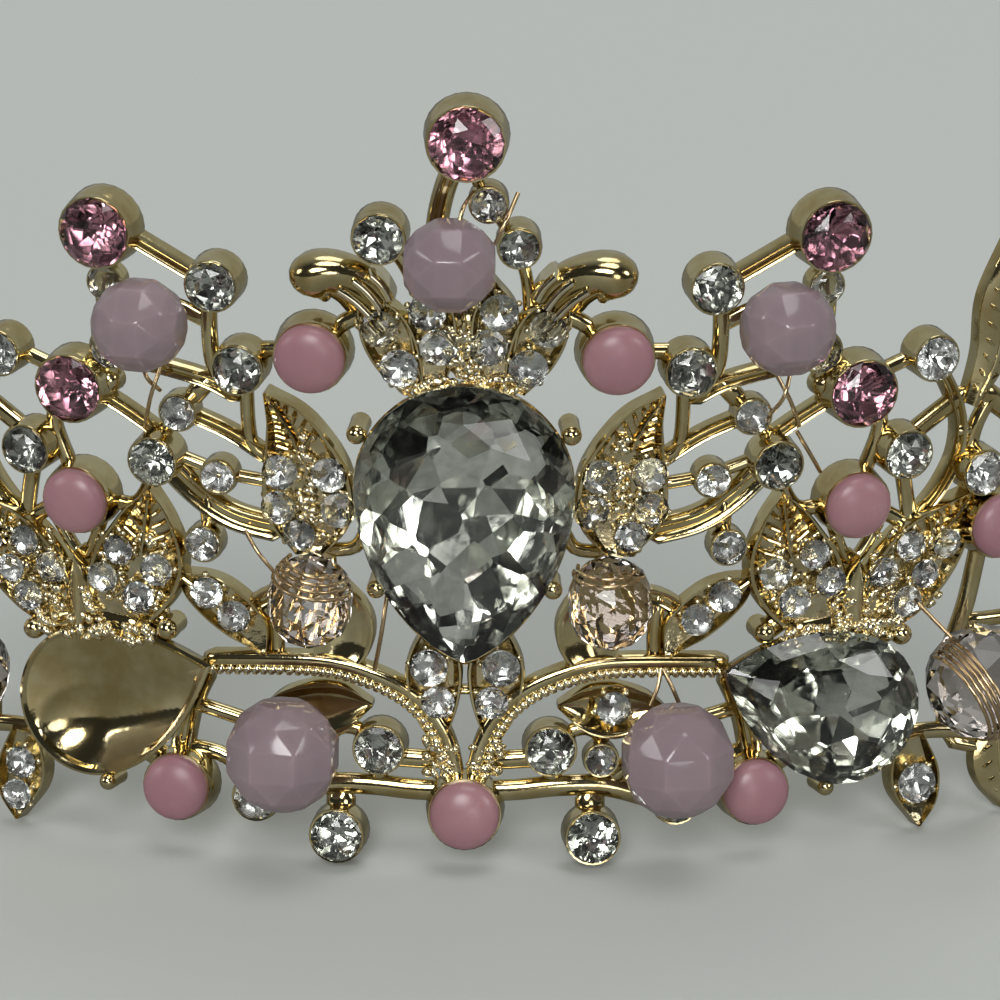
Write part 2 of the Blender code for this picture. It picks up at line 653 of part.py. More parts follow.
def centre_on_floor(things):
    """Moves the tiara so that its footprint is centred on the origin and it stands on z 0."""
    bpy.context.view_layer.update()
    points = [thing.matrix_world @ vertex.co for thing in things for vertex in thing.data.vertices]
    low = Vector([min(point[axis] for point in points) for axis in range(3)])
    high = Vector([max(point[axis] for point in points) for axis in range(3)])
    shift = Vector(((low.x + high.x) / 2.0, (low.y + high.y) / 2.0, low.z))
    for thing in things:
        thing.location -= shift
    bpy.context.view_layer.update()


def main():
    for old in list(bpy.data.objects):
        bpy.data.objects.remove(old)
    things = [make_frame()] + make_stones()
    centre_on_floor(things)


main()
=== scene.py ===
"""Looks of the stage tiara: polished casting, foiled crystals, opal domes, faceted beads, binding wire.

Pieces are modelled flat in millimetres, x along the sheet, y up it and z out of it. Then they are
bent onto the curved sheet that the casting follows, or set stiffly on it, and become metres.
"""
import math
import random

import bmesh
import bpy
from mathutils import Matrix, Vector


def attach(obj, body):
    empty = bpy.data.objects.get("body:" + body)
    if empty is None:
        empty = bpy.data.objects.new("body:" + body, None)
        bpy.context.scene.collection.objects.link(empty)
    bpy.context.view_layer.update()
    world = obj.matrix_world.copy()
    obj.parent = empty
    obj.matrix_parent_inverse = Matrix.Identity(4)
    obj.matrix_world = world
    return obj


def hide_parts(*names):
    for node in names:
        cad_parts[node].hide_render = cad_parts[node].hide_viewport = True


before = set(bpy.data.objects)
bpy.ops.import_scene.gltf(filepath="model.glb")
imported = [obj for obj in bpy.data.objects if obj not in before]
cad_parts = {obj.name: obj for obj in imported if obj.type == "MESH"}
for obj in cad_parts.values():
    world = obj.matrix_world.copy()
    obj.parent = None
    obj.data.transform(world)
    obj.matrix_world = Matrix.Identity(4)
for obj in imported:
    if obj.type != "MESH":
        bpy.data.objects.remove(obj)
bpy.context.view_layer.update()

MM = 0.001

# The sheet that the casting follows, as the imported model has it.
FRONT_RADIUS = 110.0
FRONT_HALF_LENGTH = 45.0
SIDE_RADIUS = 50.0
ARM_END = 112.0
FLARE = 4.0
FLARE_HEIGHT = 35.0
CREST_LEAN = 0.0007
FLOOR_CENTRE = 27.37

# The photo's camera: its aim on the sheet's axes, its distance and its angles.
AIM = Vector((3.1, -3.0 - FLOOR_CENTRE, 34.6))
CAMERA_DISTANCE = 300.0
CAMERA_ELEVATION = math.radians(22.0)
CAMERA_AZIMUTH = math.radians(1.0)
CAMERA_LENS = 125.0

CUP_HEIGHT = 3.4
CUP_RIM = 0.16
CUP_BACK = 1.145
LEAF_FLOOR = 0.05
GRAIN_RADIUS = 0.28
GRAINS_PER_STONE = 5
GRAIN_GAP = 0.08
GRAIN_DROP = 0.1
RIB_HALF = 0.2

# Small stones: facets round them; size and height of the leaf stones against LEAF_STONES, and their depth
# as a share of their radius.
SMALL_STONE_FACETS = 7
LEAF_STONE_SIZE = 1.1
LEAF_STONE_RISE = 0.42
LEAF_STONE_DEPTH = 0.62

# Pear settings: middle of the round end, tip, radius, and how sharp the tip is; the empty one's sharpness;
# and how far a crystal reaches over its setting.
PEAR_CENTRE = {"at": (0.0, 35.6), "tip": (0.0, 19.9), "radius": 9.05, "sharpness": 0.72}
PEAR_SIDE = {"at": (33.0, 12.9), "tip": (22.4, 17.4), "radius": 6.45, "sharpness": 0.85}
EMPTY_SHARPNESS = 1.0
PEAR_OVERHANG = 0.55

# Inside of the empty setting: its wall's rim and slope, and its bowl's middle, floor, depth and curves.
BASIN_RIM = 2.5
BASIN_SLOPE = 0.3
BOWL_MIDDLE = (-0.6, -1.6)
BOWL_FLOOR = 0.15
BOWL_DEPTH = 2.35
BOWL_ACROSS = 23.0
BOWL_TO_TIP = 42.0
BOWL_TO_BACK = 33.6

# Faces of a leaf: hollow and rim of a dish; hollow, rim and rim width of a bed of stones; edge height of a
# veined leaf; drop at the very edge; rough share of a bed; how closely the grid's lines gather at the edges.
DISH_HOLLOW = 1.1
DISH_RIM = 0.84
BED_HOLLOW = 0.95
BED_RIM = 0.7
BED_RIM_WIDTH = 0.14
VEIN_EDGE = 0.66
LEAF_EDGE_DROP = 0.25
ROUGH_BED_HALF = 0.6
EDGE_GATHER = 1.4

# Side ribs of a leaf: where they start and end across its half width, and how far they run along it.
RIB_INNER = 0.12
RIB_OUTER = 0.74
RIB_RUN = 0.07

# In the tables side is 0 for both halves, 1 for u as it is given, and -1 for its mirror image.

# Stones in cups of their own.
ROUND_STONES = (
    # name, side, u, v, diameter, kind
    ("fuchsia_top", 1, 0.3, 66.8, 6.4, "fuchsia"),
    ("fuchsia_side", 0, 31.0, 57.4, 6.2, "fuchsia"),
    ("fuchsia_low", 0, 34.2, 42.7, 6.0, "fuchsia"),
    ("clear_top_left", 1, -6.9, 58.3, 4.3, "clear"),
    ("clear_top_right", 1, 4.6, 57.6, 3.4, "clear"),
    ("clear_shoulder", 0, 21.0, 53.4, 4.4, "clear"),
    ("clear_inner", 0, 19.0, 45.9, 4.3, "clear"),
    ("clear_waist", 0, 26.8, 36.7, 4.2, "clear"),
    ("clear_outer", 0, 38.6, 36.4, 4.3, "clear"),
    ("clear_low", 0, 7.3, 10.9, 4.3, "clear"),
    ("clear_foot", 0, 10.8, 2.75, 4.6, "clear"),
    ("cab_upper", 0, 12.8, 47.4, 6.1, "cabochon"),
    ("cab_waist", 0, 34.0, 32.2, 5.9, "cabochon"),
    ("cab_end", 0, 47.8, 28.2, 5.9, "cabochon"),
    ("cab_low", 0, 24.8, 6.1, 5.9, "cabochon"),
    ("cab_foot", 1, 0.0, 5.1, 6.2, "cabochon"),
)

# Small stones in cups of the casting.
SMALL_CUPS = (
    # side, u, v, diameter, height
    (1, 2.1, 61.2, 3.0, 2.6),
    (0, 24.7, 41.1, 3.1, 2.4),
    (0, 21.3, 35.4, 3.0, 2.4),
    (0, 22.8, 28.9, 3.1, 2.4),
    (0, 40.9, 45.1, 4.0, 3.2),
    (0, 46.2, 33.5, 4.0, 3.2),
    (0, 18.2, 5.3, 4.0, 1.8),
    (0, 30.9, 52.4, 3.0, 2.0),
    (0, 30.7, 46.4, 3.6, 2.0),
    (1, 11.7, 9.6, 2.8, 2.4),
)

# Stones set in the leaves.
LEAF_STONES = (
    # side, u, v, diameter, height of the girdle
    (0, 7.0, 50.1, 3.0, 2.4),
    (0, 3.0, 51.6, 3.0, 2.1),
    (0, 5.4, 46.5, 3.1, 2.2),
    (0, 2.1, 48.4, 3.0, 2.1),
    (0, 15.8, 36.3, 2.9, 2.0),
    (0, 16.0, 33.0, 2.8, 2.0),
    (0, 11.5, 36.3, 2.9, 2.0),
    (0, 10.8, 33.0, 2.9, 2.0),
    (0, 14.2, 30.5, 2.6, 2.0),
    (0, 27.0, 26.1, 2.7, 2.1),
    (0, 28.7, 23.3, 2.7, 2.1),
    (0, 30.5, 27.6, 2.5, 2.1),
    (0, 32.0, 24.8, 2.6, 2.1),
    (0, 36.9, 25.1, 2.6, 2.1),
    (0, 39.2, 22.0, 2.6, 2.1),
    (0, 39.5, 27.3, 2.5, 2.1),
    (0, 43.0, 27.0, 2.5, 2.1),
    (0, 40.9, 24.4, 2.4, 2.1),
    (0, 22.5, 24.3, 2.7, 1.9),
    (0, 20.1, 22.3, 2.7, 1.9),
    (1, 39.9, 4.6, 3.4, 1.9),
    (-1, 39.8, 5.9, 2.7, 1.9),
    (-1, 40.0, 2.9, 2.6, 1.9),
    (0, 3.1, 18.4, 3.1, 2.0),
    (0, 2.3, 15.2, 2.7, 2.0),
    (1, 12.8, 14.4, 2.8, 1.9),
)

# Leaves of the casting: form, height, ribs (first share, last share, pairs), middle line (u, v, half width).
LEAVES = (
    ("bed", 2.0, (0.62, 0.97, 2),
     ((2.6, 44.5, 0.9), (2.5, 48.0, 1.9), (2.7, 51.4, 1.9), (2.6, 54.2, 0.1))),
    ("bed", 2.2, (0.66, 0.97, 2),
     ((4.2, 44.3, 1.0), (5.6, 47.2, 2.1), (6.9, 50.2, 2.1), (8.6, 53.2, 0.4))),
    ("bed", 2.3, (0.60, 0.96, 5),
     ((13.4, 28.6, 1.2), (13.4, 31.6, 3.6), (13.6, 35.6, 3.9), (14.9, 40.2, 2.3), (17.0, 43.6, 0.1))),
    ("bed", 1.9, (0.80, 0.96, 0),
     ((17.4, 18.6, 0.1), (18.9, 21.1, 1.8), (21.4, 23.2, 2.1), (23.6, 24.6, 1.5), (25.4, 25.8, 0.1))),
    ("dish", 1.8, None,
     ((11.9, 17.4, 1.2), (10.9, 20.4, 2.9), (11.2, 23.2, 2.8), (12.2, 27.0, 0.4))),
    ("bed", 2.2, (0.56, 0.96, 5),
     ((33.2, 19.2, 1.2), (30.6, 22.8, 3.6), (28.7, 26.6, 4.2), (28.0, 30.6, 2.5), (27.6, 33.6, 0.1))),
    ("bed", 2.2, (0.56, 0.96, 5),
     ((35.8, 19.0, 1.0), (37.7, 22.2, 3.1), (40.4, 25.4, 3.7), (43.0, 28.2, 2.8), (45.8, 31.5, 0.1))),
    ("vein", 2.7, None,
     ((34.3, 18.6, 0.5), (34.5, 21.8, 1.2), (34.6, 24.4, 1.1), (34.6, 27.0, 0.1))),
    ("bed", 1.9, None,
     ((39.8, 9.0, 1.2), (39.9, 5.6, 2.4), (40.2, 2.8, 1.9), (40.1, 0.4, 0.1))),
    ("vein", 1.8, (0.06, 0.95, 5),
     ((48.3, 9.0, 1.0), (48.2, 5.6, 2.3), (48.4, 2.8, 1.8), (48.4, 0.5, 0.1))),
    ("vein", 2.0, (0.04, 0.95, 9),
     ((45.4, 39.6, 0.8), (47.4, 44.2, 1.8), (48.0, 49.4, 2.1), (48.4, 55.0, 0.1))),
    ("bed", 2.0, None,
     ((2.3, 10.8, 0.3), (2.6, 14.2, 1.9), (2.7, 18.0, 2.5), (2.8, 20.6, 1.6), (2.8, 22.4, 0.1))),
    ("dish", 1.8, None,
     ((8.0, 14.6, 0.2), (10.4, 14.3, 2.1), (13.0, 13.9, 2.6), (15.6, 13.9, 1.7), (17.8, 13.6, 0.1))),
)

# Bars of the casting: side, width, height, outline, route through (u, v).
BARS = (
    (1, 1.9, 1.4, "groove", ((0.3, 66.0), (-1.4, 62.5), (-2.3, 58.0), (-2.2, 52.0), (0.0, 46.0))),
    (1, 1.1, 1.2, "round", ((0.9, 65.5), (1.4, 62.0), (3.6, 58.5), (5.2, 54.5), (5.6, 50.0))),
    (1, 1.7, 1.3, "round", ((-6.9, 58.3), (-4.6, 55.0), (-3.6, 52.0))),
    (0, 1.6, 1.4, "round", ((12.8, 47.6), (10.0, 50.0), (7.6, 51.0))),
    (0, 1.5, 1.4, "round", ((12.8, 47.3), (19.0, 47.0))),
    (0, 1.6, 1.6, "groove", ((30.5, 57.6), (26.0, 55.2), (21.6, 52.8))),
    (0, 1.7, 1.4, "round", ((30.6, 56.4), (31.4, 51.8), (31.2, 46.5), (31.3, 42.8), (34.0, 42.8))),
    (0, 1.5, 1.4, "round", ((21.9, 53.0), (22.0, 48.0), (21.6, 45.0), (20.0, 42.4))),
    (0, 1.6, 0.9, "round", ((21.6, 49.0), (26.0, 50.6), (31.4, 50.0))),
    (0, 1.3, 1.5, "round", ((18.9, 45.0), (18.6, 38.6), (16.8, 37.0))),
    (0, 1.6, 1.5, "groove", ((19.2, 42.4), (22.2, 43.9), (26.0, 44.8), (31.0, 45.6))),
    (0, 1.8, 1.4, "round", ((22.2, 44.0), (24.6, 41.2))),
    (0, 1.5, 1.4, "groove", ((33.6, 42.4), (30.4, 40.8), (26.2, 38.2))),
    (0, 1.4, 1.3, "round", ((26.8, 38.4), (24.7, 41.0))),
    (0, 1.4, 1.4, "round", ((34.6, 43.0), (41.0, 45.2))),
    (0, 1.5, 1.4, "round", ((35.6, 41.6), (36.9, 38.7), (35.2, 33.6))),
    (0, 1.4, 1.6, "groove", ((41.4, 45.0), (44.2, 39.4), (44.4, 35.4), (42.9, 32.1), (40.6, 29.4))),
    (0, 1.9, 1.4, "round", ((39.0, 36.8), (42.0, 38.8), (45.2, 40.8))),
    (0, 1.5, 1.4, "round", ((38.8, 36.0), (39.6, 32.0), (40.2, 28.4))),
    (0, 1.5, 1.3, "round", ((34.6, 31.9), (38.6, 29.6), (40.4, 27.8))),
    (0, 1.2, 1.2, "round", ((32.2, 31.0), (34.5, 26.0), (37.6, 30.0))),
    (0, 1.5, 1.3, "round", ((27.0, 36.0), (29.3, 31.6), (33.6, 32.2))),
    (0, 1.5, 1.5, "groove", ((24.4, 40.8), (20.4, 39.2), (16.6, 36.8))),
    (0, 2.6, 1.6, "groove", ((26.6, 36.2), (23.3, 33.1), (20.3, 31.3), (15.8, 30.3))),
    (0, 1.2, 1.4, "round", ((26.4, 37.0), (21.3, 35.4), (16.4, 34.7))),
    (0, 1.5, 1.3, "round", ((22.8, 33.0), (22.8, 28.9), (25.4, 28.0))),
    (0, 1.6, 1.3, "round", ((24.6, 25.2), (26.4, 24.4))),
    (0, 1.8, 1.4, "groove", ((14.0, 24.6), (17.0, 24.1), (20.0, 22.0))),
    (0, 1.4, 1.3, "round", ((17.0, 24.2), (16.6, 21.0), (16.6, 17.6))),
    (0, 1.3, 1.4, "round", ((8.2, 31.6), (9.5, 29.1), (12.2, 28.6))),
    (0, 2.2, 0.8, "round", ((12.6, 31.0), (12.2, 25.8), (11.0, 20.0))),
    (0, 1.4, 1.4, "round", ((9.0, 17.0), (13.5, 18.2), (17.0, 18.2), (23.2, 17.8))),
    (0, 1.3, 1.3, "round", ((2.2, 10.4), (3.8, 14.6), (6.5, 16.8), (9.4, 17.6))),
    (0, 2.0, 1.5, "round", ((0.0, 6.6), (4.4, 6.7), (8.2, 7.0), (12.4, 6.8), (17.0, 5.3))),
    (0, 2.6, 1.4, "round", ((10.8, 6.6), (10.8, 3.4))),
    (0, 1.8, 1.4, "round", ((2.2, 9.4), (7.3, 9.4), (7.3, 7.2))),
    (0, 1.4, 1.2, "round", ((7.4, 11.4), (10.6, 12.2), (12.4, 10.8))),
    (0, 1.3, 1.1, "round", ((11.7, 9.6), (12.0, 7.0))),
    (0, 2.2, 1.4, "groove", ((22.8, 17.0), (24.4, 13.0), (25.4, 7.0))),
    (0, 1.4, 1.4, "round", ((24.2, 13.4), (19.6, 12.3), (16.4, 11.2), (12.6, 7.2))),
    (0, 1.5, 1.3, "round", ((25.2, 9.4), (21.0, 8.6), (17.8, 5.6))),
    (0, 2.4, 1.6, "round", ((25.0, 6.8), (29.0, 9.2))),
    (0, 2.6, 1.8, "round", ((28.6, 19.8), (34.0, 20.2), (38.8, 18.6))),
    (0, 2.2, 1.6, "round", ((25.6, 19.6), (27.6, 21.0), (29.2, 22.0))),
    (0, 1.6, 1.3, "round", ((38.6, 9.0), (43.6, 8.6), (50.0, 6.6))),
    (0, 1.8, 1.3, "round", ((47.6, 27.4), (46.0, 20.6), (44.0, 15.0), (43.6, 8.6))),
    (0, 1.5, 1.4, "round", ((48.0, 40.4), (46.2, 37.0), (46.0, 33.4), (47.6, 29.0))),
    (0, 1.5, 1.4, "round", ((44.0, 37.2), (46.2, 36.8))),
    (1, 0.9, 1.6, "round", ((-1.8, 16.0), (1.8, 16.0))),
    (1, 3.2, 1.5, "round", ((0.0, 45.2), (0.0, 48.4), (0.0, 51.6))),
    (1, 0.5, 2.2, "rib", ((0.0, 46.4), (0.0, 49.0), (0.0, 51.4))),
    (0, 3.0, 1.32, "groove",
     ((43.8, 8.4), (50.0, 6.2), (60.0, 3.6), (72.0, 2.1), (86.0, 1.5), (ARM_END, 1.5))),
    (0, 2.2, 1.4, "round",
     ((46.4, 40.8), (54.0, 34.6), (64.0, 25.2), (76.0, 14.8), (88.0, 5.6), (94.0, 2.0))),
    (0, 1.5, 1.3, "round", ((48.0, 28.4), (57.0, 31.6))),
    (0, 1.5, 1.3, "round", ((57.0, 4.6), (57.6, 31.0))),
    (0, 1.5, 1.3, "round", ((69.0, 2.6), (69.4, 20.4))),
    (0, 1.5, 1.3, "round", ((80.0, 1.9), (80.2, 11.6))),
    (0, 1.5, 1.3, "round", ((45.4, 18.6), (57.4, 17.6))),
)

# Roped arms: the route, width and height of their core; the pitch of their grains; offset, half width and
# height of the band above them; and radius, height, slant and form of a grain.
ROPE = ((1.4, 6.5), (2.2, 10.6), (3.6, 13.3), (5.6, 15.2),
        (8.2, 16.5), (11.7, 17.4), (16.1, 17.4), (23.0, 16.9))
ROPE_WIDTH = 0.9
ROPE_HEIGHT = 1.5
ROPE_PITCH = 0.86
ROPE_BAND = 0.95
ROPE_BAND_HALF = 0.62
ROPE_BAND_HEIGHT = 2.0
ROPE_GRAIN_RADIUS = 0.52
ROPE_GRAIN_HEIGHT = 1.6
ROPE_GRAIN_SLANT = math.radians(35.0)
ROPE_GRAIN_FORM = (0.8, 1.15, 0.9, 1.0)

# Curled leaf beside the crest: u, v, half width, height.
CURL = (
    (7.0, 50.9, 1.4, 2.0),
    (8.0, 52.3, 2.3, 2.4),
    (9.3, 53.6, 2.2, 2.9),
    (11.0, 54.4, 2.0, 3.6),
    (12.2, 54.2, 2.3, 3.9),
    (13.0, 53.8, 2.2, 3.8),
    (13.5, 53.4, 1.6, 3.3),
    (13.7, 53.2, 0.7, 2.8),
)

# Half width of the curled leaf's strokes, painted light as highlights, and each one's height and route
# through (u, v).
CURL_STROKE_HALF = 0.4
CURL_STROKES = (
    (3.2, ((5.9, 52.4), (6.7, 54.0), (7.9, 55.2))),
    (3.4, ((6.6, 51.7), (7.9, 53.5), (9.4, 54.8))),
    (3.6, ((7.5, 51.2), (8.9, 52.7), (10.6, 53.9))),
    (2.9, ((6.2, 49.9), (7.4, 51.2))),
    (2.9, ((7.0, 49.3), (8.6, 51.3))),
    (2.8, ((7.8, 49.3), (9.0, 50.7))),
)

PRONGS = (
    # u, v, radius, height
    (9.0, 40.5, 0.90, 3.9),
    (7.5, 26.0, 0.85, 3.9),
    (26.0, 20.6, 1.00, 3.4),
    (38.7, 18.9, 1.00, 3.2),
    (31.2, 5.6, 0.80, 3.4),
    (31.3, 43.1, 1.20, 2.0),
)

# Beads: the hole's axis is along u at turn 0 and along v at turn 90.
BEADS = (
    # name, u, v, n, diameter, length, turn, kind
    ("milky_top", -1.0, 57.0, 5.6, 8.2, 7.6, 0, "milky"),
    ("milky_upper_left", -26.4, 50.4, 5.8, 8.3, 7.6, 0, "milky"),
    ("milky_upper_right", 26.3, 50.4, 5.8, 8.3, 7.6, 0, "milky"),
    ("milky_low_left", -14.7, 11.3, 7.2, 10.4, 9.4, 90, "milky"),
    ("milky_low_right", 17.4, 10.8, 7.1, 10.4, 9.4, 90, "milky"),
    ("peach_mid_left", -12.6, 25.8, 6.2, 8.4, 7.0, 0, "peach"),
    ("peach_mid_right", 12.0, 25.8, 6.2, 8.4, 7.0, 0, "peach"),
    ("peach_end_left", -44.2, 15.2, 7.0, 10.6, 9.6, 0, "peach"),
    ("peach_end_right", 44.2, 14.8, 7.0, 10.6, 9.6, 0, "peach"),
)

# Outlines of a bar, across its half width and up its height.
OUTLINES = {
    "round": [(math.cos(math.tau * i / 12), 0.5 + 0.5 * math.sin(math.tau * i / 12)) for i in range(12)],
    "groove": [(-0.9, 0.0), (-1.0, 0.35), (-0.94, 0.78), (-0.7, 1.0), (-0.42, 0.95), (-0.14, 0.62),
               (0.14, 0.62), (0.42, 0.95), (0.7, 1.0), (0.94, 0.78), (1.0, 0.35), (0.9, 0.0)],
    "horn": [(-0.9, 0.0), (-1.0, 0.35), (-0.97, 0.65), (-0.8, 0.88), (-0.5, 0.99), (-0.1, 1.0), (0.3, 0.92),
             (0.6, 0.72), (0.78, 0.48), (0.88, 0.42), (1.0, 0.4), (1.02, 0.28), (0.95, 0.0)],
    "stroke": [(-1.0, 0.0)] + [(-math.cos(math.pi * i / 8), 0.85 + 0.15 * math.sin(math.pi * i / 8))
                               for i in range(9)] + [(1.0, 0.0)],
    "rib": [(-1.0, 0.0), (-1.0, 0.86), (-0.6, 0.97), (0.0, 1.0), (0.6, 0.97), (1.0, 0.86), (1.0, 0.0)],
}

# How a bar narrows at its ends: across, up and along.
BAR_END = (0.5, 0.7, 1.0, 1.0)

rng = random.Random(7)


def plan_curve(u):
    """Place in plan and the heading of the sheet at u."""
    join = FRONT_HALF_LENGTH / FRONT_RADIUS
    length = abs(u)
    side = math.copysign(1.0, u)
    if length <= FRONT_HALF_LENGTH:
        heading = length / FRONT_RADIUS
        across = FRONT_RADIUS * math.sin(heading)
        back = FRONT_RADIUS * (1.0 - math.cos(heading))
    else:
        heading = join + (length - FRONT_HALF_LENGTH) / SIDE_RADIUS
        across = FRONT_RADIUS * math.sin(join) + SIDE_RADIUS * (math.sin(heading) - math.sin(join))
        back = FRONT_RADIUS * (1.0 - math.cos(join)) + SIDE_RADIUS * (math.cos(join) - math.cos(heading))
    return side * across, back - FLOOR_CENTRE, side * heading


def lean(v):
    """Outward offset of the sheet at height v, and the tilt of its face."""
    if v < FLARE_HEIGHT:
        share = (FLARE_HEIGHT - v) / FLARE_HEIGHT
        return FLARE * share ** 2, math.atan(2.0 * FLARE * share / FLARE_HEIGHT)
    rise = v - FLARE_HEIGHT
    return CREST_LEAN * rise ** 2, -math.atan(2.0 * CREST_LEAN * rise)


def sheet_axes(u, v):
    """Origin, sideways, upward and outward directions of the sheet at (u, v)."""
    across, back, heading = plan_curve(u)
    offset, tilt = lean(v)
    flat_out = Vector((math.sin(heading), -math.cos(heading), 0.0))
    sideways = Vector((math.cos(heading), math.sin(heading), 0.0))
    outward = flat_out * math.cos(tilt) + Vector((0.0, 0.0, math.sin(tilt)))
    upward = outward.cross(sideways)
    return Vector((across, back, v)) + flat_out * offset, sideways, upward, outward


def seat(u, v, turn=0.0):
    """Placement of a stiff piece on the sheet, its z axis pointing out of it, in metres."""
    origin, sideways, upward, outward = sheet_axes(u, v)
    axes = Matrix((sideways, upward, outward)).transposed().to_4x4()
    return Matrix.Translation(origin * MM) @ axes @ Matrix.Rotation(turn, 4, "Z") @ Matrix.Scale(MM, 4)


def to_mesh(shape):
    """Finished mesh of a shape, its faces pointing out."""
    bmesh.ops.recalc_face_normals(shape, faces=shape.faces)
    data = bpy.data.meshes.new("shape")
    shape.to_mesh(data)
    shape.free()
    return data


def bent(shape, side=1):
    """Bends a flat shape onto the right half of the sheet, or onto the left half as its mirror image."""
    for vertex in shape.verts:
        u, v, n = vertex.co
        origin, _, _, outward = sheet_axes(side * u, v)
        vertex.co = (origin + outward * n) * MM
    return to_mesh(shape)


def set_stiffly(shape, u, v, turn=0.0):
    """Sets a shape on the sheet without bending it."""
    bmesh.ops.transform(shape, matrix=seat(u, v, turn), verts=shape.verts)
    return to_mesh(shape)


def copies(shape, placements):
    """Many placed copies of one small shape."""
    pattern = to_mesh(shape)
    placed = []
    for placement in placements:
        copy = pattern.copy()
        copy.transform(placement)
        placed.append(copy)
    bpy.data.meshes.remove(pattern)
    return placed


def paint(data, index):
    """Gives all faces of a mesh one of its piece's materials."""
    data.polygons.foreach_set("material_index", [index] * len(data.polygons))


def gathered(name, meshes, materials, replaced, smooth_below=None):
    """Joins meshes into one piece of the tiara, smooth below an angle in degrees, or else faceted."""
    joined = bmesh.new()
    for data in meshes:
        joined.from_mesh(data)
        bpy.data.meshes.remove(data)
    data = bpy.data.meshes.new(name)
    joined.to_mesh(data)
    joined.free()
    if smooth_below is not None:
        data.shade_smooth()
        data.set_sharp_from_angle(angle=math.radians(smooth_below))
    for material in materials:
        data.materials.append(material)
    piece = bpy.data.objects.new(name, data)
    bpy.context.scene.collection.objects.link(piece)
    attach(piece, "root")
    if replaced:
        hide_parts(*replaced)
    return piece


def swept(stations, outline):
    """Closed bar through stations, each of which places the flat outline."""
    shape = bmesh.new()
    corners = [shape.verts.new((x, y, 0.0)) for x, y in outline]
    loop = [shape.edges.new((corners[i - 1], corners[i])) for i in range(len(corners))]
    bmesh.ops.transform(shape, matrix=stations[0], verts=corners)
    for before, after in zip(stations, stations[1:]):
        grown = bmesh.ops.extrude_edge_only(shape, edges=loop)["geom"]
        fresh = {part for part in grown if isinstance(part, bmesh.types.BMVert)}
        loop = [part for part in grown
                if isinstance(part, bmesh.types.BMEdge) and all(end in fresh for end in part.verts)]
        bmesh.ops.transform(shape, matrix=after @ before.inverted(), verts=list(fresh))
    bmesh.ops.holes_fill(shape, edges=shape.edges)
    return shape


def turned(profile, steps=20):
    """Solid turned round the z axis from (radius, height) pairs that start and end on the axis."""
    shape = bmesh.new()
    points = [shape.verts.new((radius, 0.0, height)) for radius, height in profile]
    edges = [shape.edges.new(pair) for pair in zip(points, points[1:])]
    bmesh.ops.spin(shape, geom=points + edges, axis=(0.0, 0.0, 1.0), cent=(0.0, 0.0, 0.0),
                   angle=math.tau, steps=steps, use_merge=True)
    bmesh.ops.remove_doubles(shape, verts=shape.verts, dist=0.0001)
    return shape


def row(shape, count, radius, place, turn=0.0):
    """Adds a ring of points to a cut stone, turned by a share of one step."""
    spin = Matrix.Rotation(math.tau * turn / count, 4, "Z")
    bmesh.ops.create_circle(shape, segments=count, radius=radius, matrix=place @ spin)


def faceted(shape):
    """Cut stone with flat facets over the outermost of its points."""
    bmesh.ops.delete(shape, geom=shape.edges[:], context="EDGES_FACES")
    loose = bmesh.ops.convex_hull(shape, input=shape.verts)
    spare = loose["geom_interior"] + loose["geom_unused"]
    inner = {part for part in spare if isinstance(part, bmesh.types.BMVert)}
    bmesh.ops.delete(shape, geom=list(inner), context="VERTS")
    return shape


def foiled(shape):
    """Gives the facets at the back of a stone its second material, the foil."""
    shape.normal_update()
    bmesh.ops.recalc_face_normals(shape, faces=shape.faces)
    shape.normal_update()
    for face in shape.faces:
        face.material_index = 1 if face.normal.z < -0.05 else 0
    return shape


def smooth_route(knots, spacing=0.9):
    """Points on a smooth curve through the knots, about one spacing apart."""
    points = [Vector(knot) for knot in knots]
    padded = [2.0 * points[0] - points[1]] + points + [2.0 * points[-1] - points[-2]]
    route = []
    for before, start, end, after in zip(padded, padded[1:], padded[2:], padded[3:]):
        count = max(2, math.ceil((end - start).length / spacing))
        for i in range(count):
            t = i / count
            route.append(0.5 * (2.0 * start + (end - before) * t
                                + (2.0 * before - 5.0 * start + 4.0 * end - after) * t ** 2
                                + (3.0 * start - before - 3.0 * end + after) * t ** 3))
    route.append(points[-1])
    return route


def headings(route):
    """Direction of travel at each point of a route."""
    found = []
    for i in range(len(route)):
        found.append((route[min(i + 1, len(route) - 1)] - route[max(i - 1, 0)]).normalized())
    return found


def station(u, v, heading, half_width, height):
    """Placement of a bar's outline at a point of its route, its height rising from the sheet."""
    along = Vector((heading[0], heading[1], 0.0)).normalized()
    across = Vector((along.y, -along.x, 0.0))
    axes = Matrix((across * half_width, Vector((0.0, 0.0, height)), along)).transposed().to_4x4()
    return Matrix.Translation((u, v, 0.0)) @ axes


def bar(side, width, height, outline, route):
    """Cast bar with rounded ends, bent onto the sheet."""
    points = smooth_route([(*point, width / 2.0, height) for point in route])
    return strip(side, outline, points)


def strip(side, outline, points):
    """Cast strip through (u, v, half width, height) points."""
    ways = headings([Vector((point[0], point[1])) for point in points])
    stations = [station(point[0], point[1], way, point[2], point[3]) for point, way in zip(points, ways)]
    for end in (0, -1):
        stations[end] = stations[end] @ Matrix.Diagonal(BAR_END)
    return bent(swept(stations, OUTLINES[outline]), side)


def halves(side):
    """Sides that a table row is built on: 0 both, 1 the right or the middle, -1 the left."""
    return (1, -1) if side == 0 else (side,)


